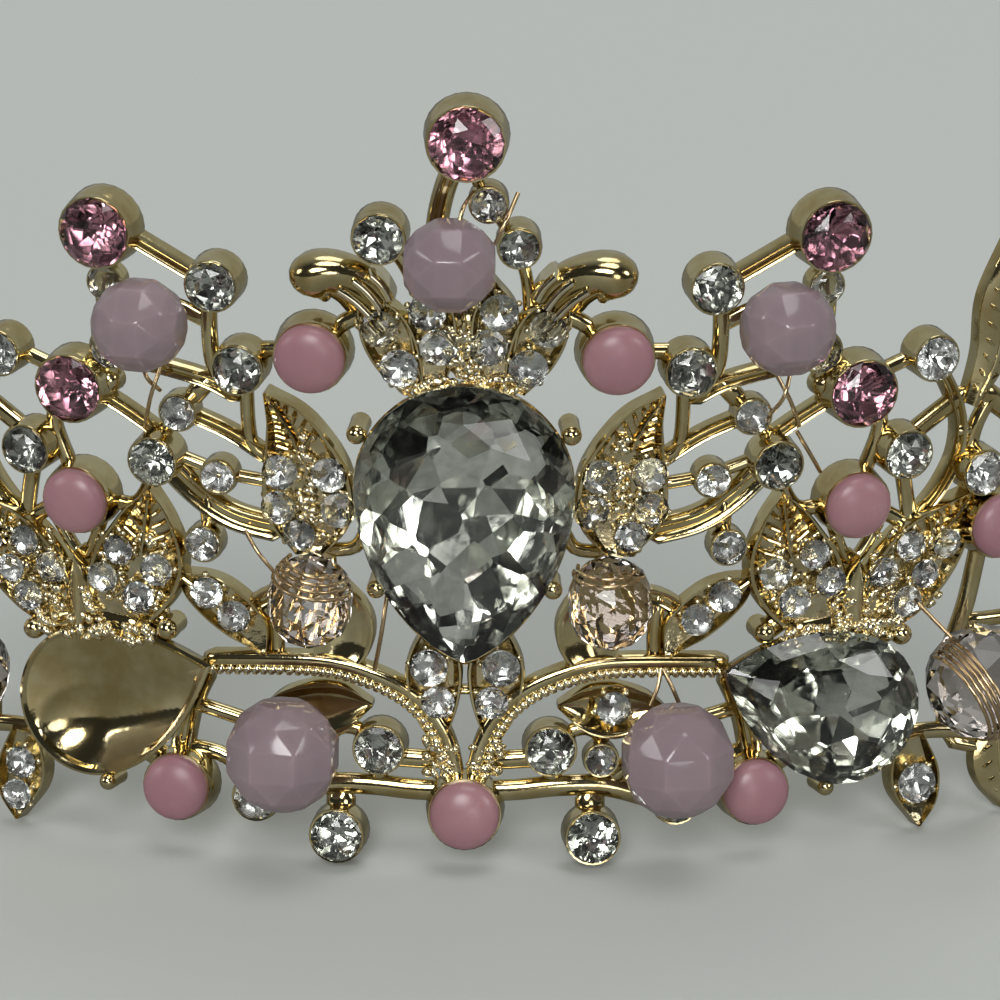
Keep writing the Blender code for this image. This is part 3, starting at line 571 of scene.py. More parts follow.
def cup(radius, height=CUP_HEIGHT):
    """Round-backed cup with a thin rim round its stone."""
    back = CUP_BACK * radius
    edge = radius + CUP_RIM
    return turned([
        (0.0, 0.0), (0.86 * back, 0.0), (0.95 * back, 0.1), (back, 0.4), (0.985 * back, 1.2),
        (edge + 0.1, height - 0.8), (edge + 0.02, height - 0.4), (edge + 0.05, height - 0.28),
        (edge, height - 0.14), (radius - 0.1, height - 0.16), (radius - 0.4, height - 0.9), (0.3, 0.5),
        (0.0, 0.5),
    ], steps=24)


def upright(height):
    """Placement of a level row at a height."""
    return Matrix.Translation((0.0, 0.0, height))


# Cut of a round stone, as shares of its radius, its crown and its depth; the girdle is in millimetres.
CROWN = 0.34
DEPTH = 0.78
GIRDLE = 0.12
TABLE = 0.54
STAR = 0.83
STAR_RISE = 0.56
KITE = 0.56
KITE_DROP = 0.46
CULET = 0.02


def brilliant(radius, level, mains=8, depth_share=DEPTH):
    """Round stone with a table, star, kite and girdle facets over a foiled cone."""
    crown = CROWN * radius
    depth = depth_share * radius
    shape = bmesh.new()
    row(shape, mains, TABLE * radius, upright(level + crown), 0.5)
    row(shape, mains, STAR * radius, upright(level + STAR_RISE * crown))
    row(shape, 2 * mains, radius, upright(level), 0.5)
    row(shape, 2 * mains, radius, upright(level - GIRDLE), 0.5)
    row(shape, mains, KITE * radius, upright(level - GIRDLE - KITE_DROP * depth), 0.5)
    row(shape, 3, CULET * radius, upright(level - depth))
    return foiled(faceted(shape))


# Dome of a cabochon: its rise against its radius, its straight edge, its foot under the cup's rim, and the
# steps of its arc.
DOME_RISE = 0.46
DOME_EDGE = 0.15
DOME_FOOT = 0.5
DOME_STEPS = 9


def dome(radius, level):
    """Flat-backed stone with a smooth dome."""
    rise = DOME_RISE * radius
    angles = [math.pi / 2.0 * i / DOME_STEPS for i in range(DOME_STEPS)]
    arc = [(radius * math.cos(angle), level + DOME_EDGE + rise * math.sin(angle)) for angle in angles]
    foot = [(0.0, level - DOME_FOOT), (radius, level - DOME_FOOT)]
    return turned(foot + arc + [(0.0, level + DOME_EDGE + rise)], steps=40)


def faceted_bead(diameter, length, n, rows, sides):
    """Cut bead with its hole's axis along x."""
    shape = bmesh.new()
    for share, girth, turn in rows:
        place = Matrix.Translation((share * length, 0.0, n)) @ Matrix.Rotation(math.pi / 2.0, 4, "Y")
        row(shape, sides, girth * diameter / 2.0, place, turn)
    return faceted(shape)


# Rounding of a milky bead's edges.
SOFT_EDGE = 0.16

# Rows of a bead's facets: share of its length, share of its girth, turn.
MILKY_ROWS = ((-0.5, 0.42, 0.5), (-0.37, 0.75, 0.0), (-0.14, 0.97, 0.5), (0.14, 0.97, 0.5), (0.37, 0.75, 0.0),
              (0.5, 0.42, 0.5))
PEACH_ROWS = ((-0.5, 0.36, 0.0), (-0.42, 0.66, 0.5), (-0.24, 0.90, 0.0), (0.0, 1.0, 0.5), (0.24, 0.90, 0.0),
              (0.42, 0.66, 0.5), (0.5, 0.36, 0.0))


def pear_reach(pear):
    """Distance from the middle of the round end to the tip."""
    return (Vector(pear["tip"]) - Vector(pear["at"])).length


def pear_seat(pear, side):
    """Where a pear crystal sits, and the turn that brings its tip round."""
    at = Vector(pear["at"])
    run = Vector(pear["tip"]) - at
    return side * at.x, at.y, math.atan2(run.y, side * run.x)


def pear_outline(radius, reach, sharpness, round_steps, side_steps):
    """Pear shape with its tip along +x, as (x, y) pairs."""
    arc = [math.pi / 2.0 + math.pi * i / round_steps for i in range(round_steps + 1)]
    points = [(radius * math.cos(angle), radius * math.sin(angle)) for angle in arc]
    shares = [math.sin(math.pi / 2.0 * i / side_steps) for i in range(1, side_steps)]
    lower = [(reach * share, -radius * (1.0 - share ** 2) ** sharpness) for share in shares]
    upper = [(x, -y) for x, y in reversed(lower)]
    return points + lower + [(reach, 0.0)] + upper


def pear_crystal(pear):
    """Pear cut crystal: a wide table, a narrow crown and large foiled facets that meet in a keel."""
    radius, reach = pear["radius"] + PEAR_OVERHANG, pear_reach(pear) + PEAR_OVERHANG
    fine = pear_outline(radius, reach, pear["sharpness"], 12, 7)
    coarse = pear_outline(radius, reach, pear["sharpness"], 6, 4)
    rows = (
        # outline, scale, height
        (coarse, 0.55, 5.3),
        (coarse[1::2] + coarse[:1], 0.70, 5.1),
        (fine[::2], 0.85, 4.55),
        (fine, 1.0, 3.5),
        (fine, 1.0, 3.25),
        (fine[1::2], 0.80, 2.45),
        (coarse[::2], 0.52, 1.6),
        (coarse[:1], 0.12, 0.8),
    )
    shape = bmesh.new()
    for outline, scale, height in rows:
        for x, y in outline:
            shape.verts.new((x * scale, y * scale, height))
    return foiled(faceted(shape))


def level_station(scale, height):
    """Placement of an outline that stays level, scaled and raised."""
    return Matrix.Translation((0.0, 0.0, height)) @ Matrix.Diagonal((scale, scale, 1.0, 1.0))


def basin_height(x, y, scale):
    """Height inside the empty setting: an even slope down from its rim, cut by a deep round bowl."""
    slope = BASIN_RIM - BASIN_SLOPE * (1.0 - scale) * PEAR_SIDE["radius"]
    along = x - BOWL_MIDDLE[0]
    across = y - BOWL_MIDDLE[1]
    reach = along ** 1.5 / BOWL_TO_TIP if along > 0.0 else along ** 2 / BOWL_TO_BACK
    return min(slope, BOWL_FLOOR + BOWL_DEPTH * (across ** 2 / BOWL_ACROSS + reach))


def pear_setting(pear, side, levels, basin=()):
    """Pear setting through (scale, height) levels of its outline, and the scales of its empty basin."""
    sharpness = EMPTY_SHARPNESS if basin else pear["sharpness"]
    outline = pear_outline(pear["radius"], pear_reach(pear), sharpness, 32, 20)
    rows = levels + tuple((scale, scale) for scale in basin)
    shape = swept([level_station(scale, height) for scale, height in rows], outline)
    shape.verts.ensure_lookup_table()
    for vertex in shape.verts[len(outline) * len(levels):]:
        vertex.co.z = basin_height(*vertex.co)
    return set_stiffly(shape, *pear_seat(pear, side))


# Levels of a setting: scale of its outline, height. The empty one goes on to the scales of its basin.
FILLED_SETTING = ((0.8, -0.1), (0.9, 0.1), (1.03, 1.6), (1.065, 2.9), (1.05, 3.1), (1.02, 3.0), (1.0, 2.4),
                  (0.6, 1.1), (0.1, 0.4))
EMPTY_SETTING = ((0.8, -0.15), (0.92, 0.1), (1.05, 1.2), (1.085, 2.5), (1.08, 2.7), (1.045, 2.78),
                 (1.02, 2.65), (0.995, 2.5))
BASIN = (0.96, 0.91, 0.86, 0.81, 0.76, 0.71, 0.66, 0.60, 0.54, 0.48, 0.42, 0.36, 0.30, 0.24, 0.18, 0.12, 0.05)


def along_line(line, share):
    """Point, direction and half width of a middle line at a share of its length."""
    reach = min(max(share, 0.0), 1.0) * (len(line) - 1)
    index = min(int(reach), len(line) - 2)
    step = line[index + 1] - line[index]
    point = line[index] + step * (reach - index)
    ahead = Vector((step.x, step.y)).normalized()
    return Vector((point.x, point.y)), ahead, point.z


def on_leaf(line, share, cross):
    """Place in (u, v) at a share of a leaf's length and of its half width."""
    point, ahead, half = along_line(line, share)
    return point + Vector((ahead.y, -ahead.x)) * cross * half


def leaf_height(form, cross, share, top):
    """Height of a leaf's face at a share of its half width and of its length."""
    reach = abs(cross)
    if form == "dish":
        hollow = math.sin(math.pi * share) ** 0.4
        face = top - DISH_HOLLOW * hollow * max(0.0, 1.0 - (reach / DISH_RIM) ** 2)
    elif form == "vein":
        face = top * (VEIN_EDGE + (1.0 - VEIN_EDGE) * (1.0 - reach ** 1.5))
    else:
        rim = min(1.0, max(0.0, (reach - BED_RIM) / BED_RIM_WIDTH))
        face = top - BED_HOLLOW * (1.0 - rim * rim) * math.sin(math.pi * share) ** 0.3
    return face - (LEAF_EDGE_DROP if reach > 0.99 else 0.0)


def leaf(side, form, top, ribs, knots):
    """Cast leaf: a grid drawn along its middle line, with a wall down to the sheet, and its ribs."""
    line = smooth_route(knots, 0.35)
    shape = bmesh.new()
    bmesh.ops.create_grid(shape, x_segments=18, y_segments=30, size=1.0)
    for face in shape.faces:
        rough = form == "bed" and abs(face.calc_center_median().x) < ROUGH_BED_HALF
        face.material_index = 1 if rough else 0
    for vertex in shape.verts:
        cross = math.copysign(1.0 - (1.0 - abs(vertex.co.x)) ** EDGE_GATHER, vertex.co.x)
        share = (vertex.co.y + 1.0) / 2.0
        place = on_leaf(line, share, cross)
        vertex.co = (place.x, place.y, leaf_height(form, cross, share, top))
    border = [edge for edge in shape.edges if edge.is_boundary]
    wall = bmesh.ops.extrude_edge_only(shape, edges=border)["geom"]
    for part in wall:
        if isinstance(part, bmesh.types.BMVert):
            part.co.z = LEAF_FLOOR
    bmesh.ops.holes_fill(shape, edges=shape.edges)
    meshes = [bent(shape, side)]
    if ribs:
        first, last, pairs = ribs
        spine = [on_leaf(line, first + (last - first) * i / 4.0, 0.0) for i in range(5)]
        meshes.append(rib(side, top + 0.1, spine))
        for i in range(pairs):
            start = first + (last - first) * (i + 0.2) / (pairs + 0.6)
            for hand in (1.0, -1.0):
                ends = [on_leaf(line, start, RIB_INNER * hand),
                        on_leaf(line, start + RIB_RUN, RIB_OUTER * hand)]
                meshes.append(rib(side, top - 0.05, ends))
    return meshes


def rib(side, height, route, half=RIB_HALF, outline="rib", material_index=0):
    """Thin raised stroke on a leaf."""
    data = strip(side, outline, smooth_route([(point[0], point[1], half, height) for point in route], 0.5))
    paint(data, material_index)
    return data


def grain(radius):
    """Small round grain of gold."""
    shape = bmesh.new()
    bmesh.ops.create_uvsphere(shape, u_segments=8, v_segments=6, radius=radius)
    return shape


def prong(radius, height):
    """Post with a rounded head."""
    head = [(radius * math.cos(angle), height - radius + radius * math.sin(angle))
            for angle in [math.pi / 2.0 * i / 6.0 for i in range(6)]]
    return turned([(0.0, 0.1), (1.05 * radius, 0.1), (radius, 0.6)] + head + [(0.0, height)], steps=16)


def wire(points, radius):
    """Round wire through flat (u, v, n) points."""
    route = smooth_route(points, 0.6)
    circle = [(math.cos(math.tau * i / 8), math.sin(math.tau * i / 8)) for i in range(8)]
    stations = []
    for point, way in zip(route, headings(route)):
        turn = way.to_track_quat("Z", "Y").to_matrix().to_4x4()
        stations.append(Matrix.Translation(point) @ turn @ Matrix.Diagonal((radius, radius, 1.0, 1.0)))
    return swept(stations, circle)


# Eye of an arm: how far its middle lies past the arm's end, and how high on the sheet.
EYE_REACH = 0.92
EYE_HEIGHT = 2.02


def arm_eye(side):
    """Flat eye at the end of an arm."""
    outline = [(0.9, 0.3), (0.9, 1.1), (1.1, 1.35), (1.8, 1.35),
               (2.0, 1.1), (2.0, 0.3), (1.8, 0.1), (1.1, 0.1)]
    shape = bmesh.new()
    points = [shape.verts.new((radius, 0.0, height)) for radius, height in outline]
    edges = [shape.edges.new((points[i - 1], points[i])) for i in range(len(points))]
    bmesh.ops.spin(shape, geom=points + edges, axis=(0.0, 0.0, 1.0), cent=(0.0, 0.0, 0.0),
                   angle=math.tau, steps=24, use_merge=True)
    return set_stiffly(shape, side * (ARM_END + EYE_REACH), EYE_HEIGHT)


def link(tree, source, output, target, socket):
    """Joins two sockets of a node tree."""
    tree.links.new(source.outputs[output], target.inputs[socket])


# Sockets of a colour mix: its share, its two colours and its result.
MIX_SHARE = 0
MIX_FIRST = 6
MIX_SECOND = 7
MIX_RESULT = 2


def node_in(tree, kind, **settings):
    """New node with its settings, and its inputs by name under the key values."""
    values = settings.pop("values", {})
    node = tree.nodes.new(kind)
    for key, value in settings.items():
        setattr(node, key, value)
    for key, value in values.items():
        node.inputs[key].default_value = value
    return node


def add_sockets(group, way, kind, names):
    """Gives a node group sockets of one way and kind."""
    for name in names:
        group.interface.new_socket(name=name, in_out=way, socket_type=kind)


# Inputs of the shared finish, in the order of a finish's five numbers.
SKIN_INPUTS = ("Blotch Scale", "Skin Scale", "Skin Depth", "Low Gloss", "High Gloss")


def surface_group():
    """Shared finish: blotches of tone, cloudy gloss and a fine uneven skin."""
    group = bpy.data.node_groups.new("uneven_skin", "ShaderNodeTree")
    add_sockets(group, "INPUT", "NodeSocketFloat", SKIN_INPUTS)
    add_sockets(group, "OUTPUT", "NodeSocketFloat", ("Blotch", "Roughness"))
    add_sockets(group, "OUTPUT", "NodeSocketVector", ("Normal",))
    inside = node_in(group, "NodeGroupInput")
    outside = node_in(group, "NodeGroupOutput")
    place = node_in(group, "ShaderNodeTexCoord")
    blotches = node_in(group, "ShaderNodeTexNoise", values={"Detail": 3.0, "Roughness": 0.6})
    skin = node_in(group, "ShaderNodeTexNoise", values={"Detail": 4.0, "Roughness": 0.55})
    spread = node_in(group, "ShaderNodeMapRange", values={"From Min": 0.35, "From Max": 0.65})
    gloss = node_in(group, "ShaderNodeMapRange", values={"From Min": 0.3, "From Max": 0.7})
    bump = node_in(group, "ShaderNodeBump", values={"Strength": 1.0})
    link(group, place, "Object", blotches, "Vector")
    link(group, place, "Object", skin, "Vector")
    link(group, inside, "Blotch Scale", blotches, "Scale")
    link(group, inside, "Skin Scale", skin, "Scale")
    link(group, inside, "Skin Depth", bump, "Distance")
    link(group, inside, "Low Gloss", gloss, "To Min")
    link(group, inside, "High Gloss", gloss, "To Max")
    link(group, blotches, "Fac", spread, "Value")
    link(group, blotches, "Fac", gloss, "Value")
    link(group, skin, "Fac", bump, "Height")
    link(group, spread, "Result", outside, "Blotch")
    link(group, gloss, "Result", outside, "Roughness")
    link(group, bump, "Normal", outside, "Normal")
    return group


UNEVEN_SKIN = surface_group()


def finish_of(name, light, dark, skin, **plain):
    """Material that blends two tones by the shared skin; plain values go to the shader's own sockets."""
    material = bpy.data.materials.new(name)
    material.use_nodes = True
    tree = material.node_tree
    shader = tree.nodes["Principled BSDF"]
    group = node_in(tree, "ShaderNodeGroup", node_tree=UNEVEN_SKIN)
    for socket, value in zip(SKIN_INPUTS, skin):
        group.inputs[socket].default_value = value
    tones = node_in(tree, "ShaderNodeMix", data_type="RGBA")
    tones.inputs[MIX_FIRST].default_value = (*light, 1.0)
    tones.inputs[MIX_SECOND].default_value = (*dark, 1.0)
    link(tree, group, "Blotch", tones, MIX_SHARE)
    link(tree, tones, MIX_RESULT, shader, "Base Color")
    link(tree, group, "Roughness", shader, "Roughness")
    link(tree, group, "Normal", shader, "Normal")
    for socket, value in plain.items():
        shader.inputs[socket.replace("_", " ")].default_value = value
    return material


def cut_group():
    """Shared look of a cut and foiled back: each cell tilts its own way."""
    group = bpy.data.node_groups.new("cut_cells", "ShaderNodeTree")
    add_sockets(group, "INPUT", "NodeSocketFloat", ("Cell Scale", "Tilt"))
    add_sockets(group, "OUTPUT", "NodeSocketVector", ("Normal",))
    inside = node_in(group, "NodeGroupInput")
    outside = node_in(group, "NodeGroupOutput")
    place = node_in(group, "ShaderNodeTexCoord")
    face = node_in(group, "ShaderNodeNewGeometry")
    cells = node_in(group, "ShaderNodeTexVoronoi")
    centred = node_in(group, "ShaderNodeVectorMath", operation="SUBTRACT", values={1: (0.5, 0.5, 0.5)})
    tilted = node_in(group, "ShaderNodeVectorMath", operation="SCALE")
    summed = node_in(group, "ShaderNodeVectorMath", operation="ADD")
    unit = node_in(group, "ShaderNodeVectorMath", operation="NORMALIZE")
    link(group, place, "Object", cells, "Vector")
    link(group, inside, "Cell Scale", cells, "Scale")
    link(group, cells, "Color", centred, 0)
    link(group, centred, "Vector", tilted, 0)
    link(group, inside, "Tilt", tilted, "Scale")
    link(group, tilted, "Vector", summed, 0)
    link(group, face, "Normal", summed, 1)
    link(group, summed, "Vector", unit, 0)
    link(group, unit, "Vector", outside, "Normal")
    return group


CUT_CELLS = cut_group()


def cut_foil(name, light, dark, scale, tilt, most_rough):
    """Silver foil behind a stone, broken into cells like the facets of its cut."""
    material = finish_of(name, light, dark, (700.0, 3000.0, 2e-6, 0.03, most_rough), Metallic=1.0)
    tree = material.node_tree
    cuts = node_in(tree, "ShaderNodeGroup", node_tree=CUT_CELLS, values={"Cell Scale": scale, "Tilt": tilt})
    link(tree, cuts, "Normal", tree.nodes["Principled BSDF"], "Normal")
    return material


def metal(name, light, dark, skin):
    """Polished or cast metal."""
    return finish_of(name, light, dark, skin, Metallic=1.0)


def glass(name, light, dark, skin, bending=1.58):
    """Clear or tinted glass and how much it bends light."""
    return finish_of(name, light, dark, skin, Transmission_Weight=1.0, IOR=bending)


CRYSTAL_SKIN = (300.0, 3000.0, 5e-7, 0.0, 0.02)

gold = metal("polished_gold", (0.74, 0.64, 0.37), (0.57, 0.44, 0.20), (260.0, 1600.0, 1.4e-5, 0.06, 0.15))
# Lighter copy of the polished gold for grains, rope grains and leaf strokes: a painted highlight.
painted_highlight_gold = metal("painted_highlight_gold", (0.85, 0.78, 0.56), (0.76, 0.66, 0.42), (400.0, 1600.0, 1e-5, 0.05, 0.12))
cast_gold = metal("cast_gold", (0.76, 0.67, 0.43), (0.60, 0.49, 0.26), (500.0, 1300.0, 8e-5, 0.08, 0.2))
wire_gold = metal("wire_gold", (0.70, 0.54, 0.32), (0.56, 0.40, 0.22), (500.0, 4000.0, 5e-6, 0.15, 0.3))
foil = cut_foil("silver_foil", (0.88, 0.89, 0.85), (0.60, 0.61, 0.56), 760.0, 0.65, 0.2)
pear_foil = cut_foil("pear_foil", (0.97, 0.98, 0.90), (0.72, 0.74, 0.66), 360.0, 0.54, 0.16)
# Lighter copy of the silver foil for the small stones: its extra lightness is painted light.
painted_light_leaf_foil = cut_foil("painted_light_leaf_foil", (0.98, 0.98, 0.97), (0.84, 0.85, 0.83), 760.0, 0.65, 0.34)
clear_glass = glass("clear_crystal", (0.97, 0.985, 0.975), (0.93, 0.95, 0.94), CRYSTAL_SKIN)
fuchsia_glass = glass("fuchsia_crystal", (0.91, 0.46, 0.61), (0.85, 0.35, 0.51), CRYSTAL_SKIN)
peach_glass = glass("peach_glass", (0.98, 0.90, 0.865), (0.95, 0.835, 0.79), (200.0, 2000.0, 1e-6, 0.0, 0.03),
                    bending=1.52)
milky_glass = finish_of("milky_glass", (0.30, 0.23, 0.245), (0.26, 0.20, 0.222),
                        (160.0, 1800.0, 1.5e-6, 0.06, 0.14), Subsurface_Weight=0.7,
                        Subsurface_Radius=(1.0, 0.8, 0.9), Subsurface_Scale=0.003)
opal = finish_of("rose_opal", (0.37, 0.20, 0.218), (0.32, 0.162, 0.19),
                 (150.0, 1500.0, 1e-6, 0.26, 0.4), Subsurface_Weight=0.5,
                 Subsurface_Radius=(1.0, 0.6, 0.6), Subsurface_Scale=0.002)


def side_names(name, side):
    """Node names of a stone, by the half that it is on."""
    if side:
        return [(name, 1)]
    return [(name + "_right", 1), (name + "_left", -1)]


def build_cups():
    """Cups, prongs and arm eyes."""
    meshes = []
    for _, side, u, v, diameter, _ in ROUND_STONES:
        meshes += [set_stiffly(cup(diameter / 2.0), half * u, v) for half in halves(side)]
    for side, u, v, diameter, height in SMALL_CUPS:
        meshes += [set_stiffly(cup(diameter / 2.0, height), half * u, v) for half in halves(side)]
    for u, v, radius, height in PRONGS:
        meshes += [set_stiffly(prong(radius, height), half * u, v) for half in (1, -1)]
    meshes += [arm_eye(half) for half in (1, -1)]
    return gathered("gold_cups", meshes, [gold], ["frame"], smooth_below=40.0)


def build_bars():
    """Stems, straps and side arms."""
    meshes = []
    for side, width, height, outline, route in BARS:
        meshes += [bar(half, width, height, outline, route) for half in halves(side)]
    return gathered("gold_bars", meshes, [gold], ["frame"], smooth_below=50.0)


def build_leaves():
    """Cast leaves of the crest, the sprays and the foot."""
    meshes = []
    for half in (1, -1):
        for form, top, ribs, knots in LEAVES:
            meshes += leaf(half, form, top, ribs, knots)
        meshes.append(strip(half, "horn", smooth_route(CURL, 0.5)))
        # The strokes get the lighter gold, a painted highlight on their ridges.
        meshes += [rib(half, height, route, CURL_STROKE_HALF, "stroke", 2) for height, route in CURL_STROKES]
    materials = [gold, cast_gold, painted_highlight_gold]
    return gathered("gold_leaves", meshes, materials, ["frame"], smooth_below=40.0)


def build_settings():
    """Pear settings: two hold their crystal, and the left side one is empty."""
    meshes = [
        pear_setting(PEAR_CENTRE, 1, FILLED_SETTING),
        pear_setting(PEAR_SIDE, 1, FILLED_SETTING),
        pear_setting(PEAR_SIDE, -1, EMPTY_SETTING, BASIN),
    ]
    return gathered("gold_pear_settings", meshes, [gold], ["frame"], smooth_below=14.0)


def build_ropes():
    """Roped arms: a smooth band over a row of slanting grains, the grains in a lighter gold as a painted
    highlight.
    """
    meshes = []
    placements = []
    route = smooth_route(ROPE, ROPE_PITCH)
    ways = headings(route)
    for half in (1, -1):
        meshes.append(bar(half, ROPE_WIDTH, ROPE_HEIGHT, "round", ROPE))
        band = []
        for point, way in zip(route, ways):
            above = point + Vector((-way.y, way.x)) * ROPE_BAND
            band.append(Vector((above.x, above.y, ROPE_BAND_HALF, ROPE_BAND_HEIGHT)))
        meshes.append(strip(half, "rib", band))
        for point, way in zip(route, ways):
            turn = math.atan2(way[1], half * way[0]) + half * ROPE_GRAIN_SLANT
            placements.append(seat(half * point[0], point[1], turn)
                              @ Matrix.Translation((0.0, 0.0, ROPE_GRAIN_HEIGHT))
                              @ Matrix.Diagonal(ROPE_GRAIN_FORM))
    grains = copies(grain(ROPE_GRAIN_RADIUS), placements)
    # The grains get the lighter gold: a painted highlight.
    for data in grains:
        paint(data, 1)
    return gathered("gold_ropes", meshes + grains, [gold, painted_highlight_gold], ["frame"], smooth_below=60.0)


# Binding wires: points (u, v, n) on the sheet.
WIRES = (
    ((26.2, 45.6, 2.2), (27.5, 42.9, 3.2), (28.8, 39.9, 2.2)),
    ((27.9, 45.4, 2.2), (26.9, 43.1, 3.4), (25.7, 40.8, 2.2)),
    ((28.6, 39.4, 2.2), (29.8, 37.2, 2.6), (31.0, 35.2, 1.8)),
    ((-27.7, 46.0, 2.2), (-27.0, 44.5, 3.0), (-26.2, 43.0, 2.0)),
    ((-25.8, 45.8, 2.2), (-26.6, 43.0, 3.2), (-27.7, 39.4, 2.2)),
    ((-19.1, 30.4, 1.8), (-17.6, 28.6, 2.8), (-16.0, 26.5, 2.6)),
    ((-6.6, 25.4, 2.6), (-7.1, 21.6, 3.0), (-7.8, 18.0, 1.8)),
    ((17.0, 17.8, 1.8), (16.6, 16.3, 2.4), (15.9, 14.6, 2.6)),
    ((17.1, 17.8, 1.9), (17.8, 16.2, 2.5), (18.5, 14.4, 2.6)),
    ((-0.2, 60.6, 4.6), (0.1, 61.6, 4.0), (0.9, 62.4, 2.4)),
    ((2.6, 58.4, 4.4), (3.4, 60.2, 4.2), (4.5, 62.2, 2.2)),
    ((39.8, 22.2, 2.4), (41.0, 20.4, 4.4), (42.4, 18.3, 6.6)),
)
WIRE_RADIUS = 0.19

# Windings over a bead: points of a loop, and the half turns that it covers.
COIL_STEPS = 12
COIL_WRAP = 1.2

# Wire wound over the beads: bead, turn of the winding in degrees, places of its loops, their lean.
COILS = (
    ("peach_mid_left", 84, (1.7, 2.3, 2.8, 3.3), 0.3),
    ("peach_mid_right", 96, (2.7, 3.2), 0.3),
    ("peach_end_right", 23, (-2.8, -2.35, -1.9, -1.5, -1.05), 0.0),
    ("peach_end_left", 150, (-1.0, -0.5, 0.3), 0.2),
)

# Grainy gold: lowest and highest u, lowest and highest v, count, height.
GRAINY = (
    (0.0, 5.4, 44.2, 45.4, 46, 1.9),
    (0.0, 1.5, 45.2, 50.0, 24, 1.9),
    (27.4, 38.6, 18.9, 20.6, 60, 2.5),
    (32.4, 36.2, 20.4, 24.0, 22, 2.1),
    (0.6, 3.4, 8.4, 11.6, 26, 1.6),
    (12.9, 14.2, 31.6, 39.6, 30, 1.75),
    (10.4, 16.6, 29.8, 37.6, 24, 1.5),
    (26.4, 32.8, 21.4, 29.4, 40, 1.55),
    (36.4, 43.6, 21.0, 29.0, 40, 1.55),
)


def build_grains():
    """Tiny grains that hold the small stones, and the grainy gold above the centre crystal, all in a lighter
    gold that is a painted highlight.
    """
    placements = []
    for side, u, v, diameter, level in LEAF_STONES:
        for half in halves(side):
            start = rng.uniform(0.0, math.tau)
            for i in range(GRAINS_PER_STONE):
                angle = start + math.tau * i / GRAINS_PER_STONE
                reach = LEAF_STONE_SIZE * diameter / 2.0 + GRAIN_GAP
                rise = level - GRAIN_DROP + rng.uniform(-0.15, 0.05)
                placements.append(seat(half * u + reach * math.cos(angle), v + reach * math.sin(angle))
                                  @ Matrix.Translation((0.0, 0.0, rise))
                                  @ Matrix.Scale(rng.uniform(0.9, 1.4), 4))
    for low_u, high_u, low_v, high_v, count, n in GRAINY:
        for i in range(count):
            for half in (1, -1):
                spot = seat(half * rng.uniform(low_u, high_u), rng.uniform(low_v, high_v))
                placements.append(spot @ Matrix.Translation((0.0, 0.0, n + rng.uniform(-0.2, 0.25)))
                                  @ Matrix.Rotation(half * rng.uniform(0.0, 1.2), 4, "Z")
                                  @ Matrix.Diagonal((rng.uniform(1.3, 2.8), rng.uniform(1.0, 1.5), 1.3, 1.0)))
    meshes = copies(grain(GRAIN_RADIUS), placements)
    # All grains get the lighter gold, a painted highlight.
    return gathered("gold_grains", meshes, [painted_highlight_gold], ["frame"], smooth_below=60.0)


def build_small_stones():
    """Small clear stones of the leaves and small cups, backed by a lighter foil that is painted light."""
    meshes = []
    for side, u, v, diameter, level in LEAF_STONES:
        for half in halves(side):
            stone = brilliant(LEAF_STONE_SIZE * diameter / 2.0, level + LEAF_STONE_RISE, SMALL_STONE_FACETS,
                              LEAF_STONE_DEPTH)
            meshes.append(set_stiffly(stone, half * u, v, rng.uniform(0.0, 1.0)))
    for side, u, v, diameter, height in SMALL_CUPS:
        for half in halves(side):
            stone = brilliant(diameter / 2.0, height, SMALL_STONE_FACETS)
            meshes.append(set_stiffly(stone, half * u, v, rng.uniform(0.0, 1.0)))
    return gathered("small_crystals", meshes, [clear_glass, painted_light_leaf_foil], ["frame"])


def build_round_stones(kind, piece_name, materials):
    """All stones of one kind that sit in cups of their own."""
    meshes = []
    nodes = []
    for name, side, u, v, diameter, row_kind in ROUND_STONES:
        if row_kind != kind:
            continue
        for node, half in side_names(name, side):
            radius = diameter / 2.0
            shape = dome(radius, CUP_HEIGHT) if kind == "cabochon" else brilliant(radius, CUP_HEIGHT)
            meshes.append(set_stiffly(shape, half * u, v, rng.uniform(0.0, 0.8)))
            nodes.append(node)
    return gathered(piece_name, meshes, materials, nodes, 30.0 if kind == "cabochon" else None)


def build_beads(kind, piece_name, rows, sides, material):
    """All beads of one kind."""
    meshes = []
    nodes = []
    for name, u, v, n, diameter, length, turn, row_kind in BEADS:
        if row_kind == kind:
            shape = faceted_bead(diameter, length, n, rows, sides)
            if kind == "milky":
                bmesh.ops.dissolve_limit(shape, angle_limit=0.02, verts=shape.verts, edges=shape.edges)
                bmesh.ops.bevel(shape, geom=shape.edges, offset=SOFT_EDGE, offset_type="OFFSET",
                                affect="EDGES", segments=2, profile=0.5, material=-1)
            meshes.append(set_stiffly(shape, u, v, math.radians(turn)))
            nodes.append(name)
    return gathered(piece_name, meshes, [material], nodes, 24.0 if kind == "milky" else None)


def build_pear_crystals():
    """The two large pear crystals."""
    meshes = [set_stiffly(pear_crystal(pear), *pear_seat(pear, 1)) for pear in (PEAR_CENTRE, PEAR_SIDE)]
    return gathered("pear_crystals", meshes, [clear_glass, pear_foil], ["pear_centre", "pear_right"])


def build_wires():
    """Thin copper-gold wires that bind the beads to the casting."""
    meshes = [bent(wire(points, WIRE_RADIUS)) for points in WIRES]
    for name, u, v, n, diameter, length, _, _ in BEADS:
        for bead_name, turn, places, slant in COILS:
            if name == bead_name:
                loops = [loop(n, diameter / 2.0, length / 2.0, place, slant) for place in places]
                meshes += [set_stiffly(shape, u, v, math.radians(turn)) for shape in loops]
    return gathered("binding_wires", meshes, [wire_gold], [], smooth_below=60.0)


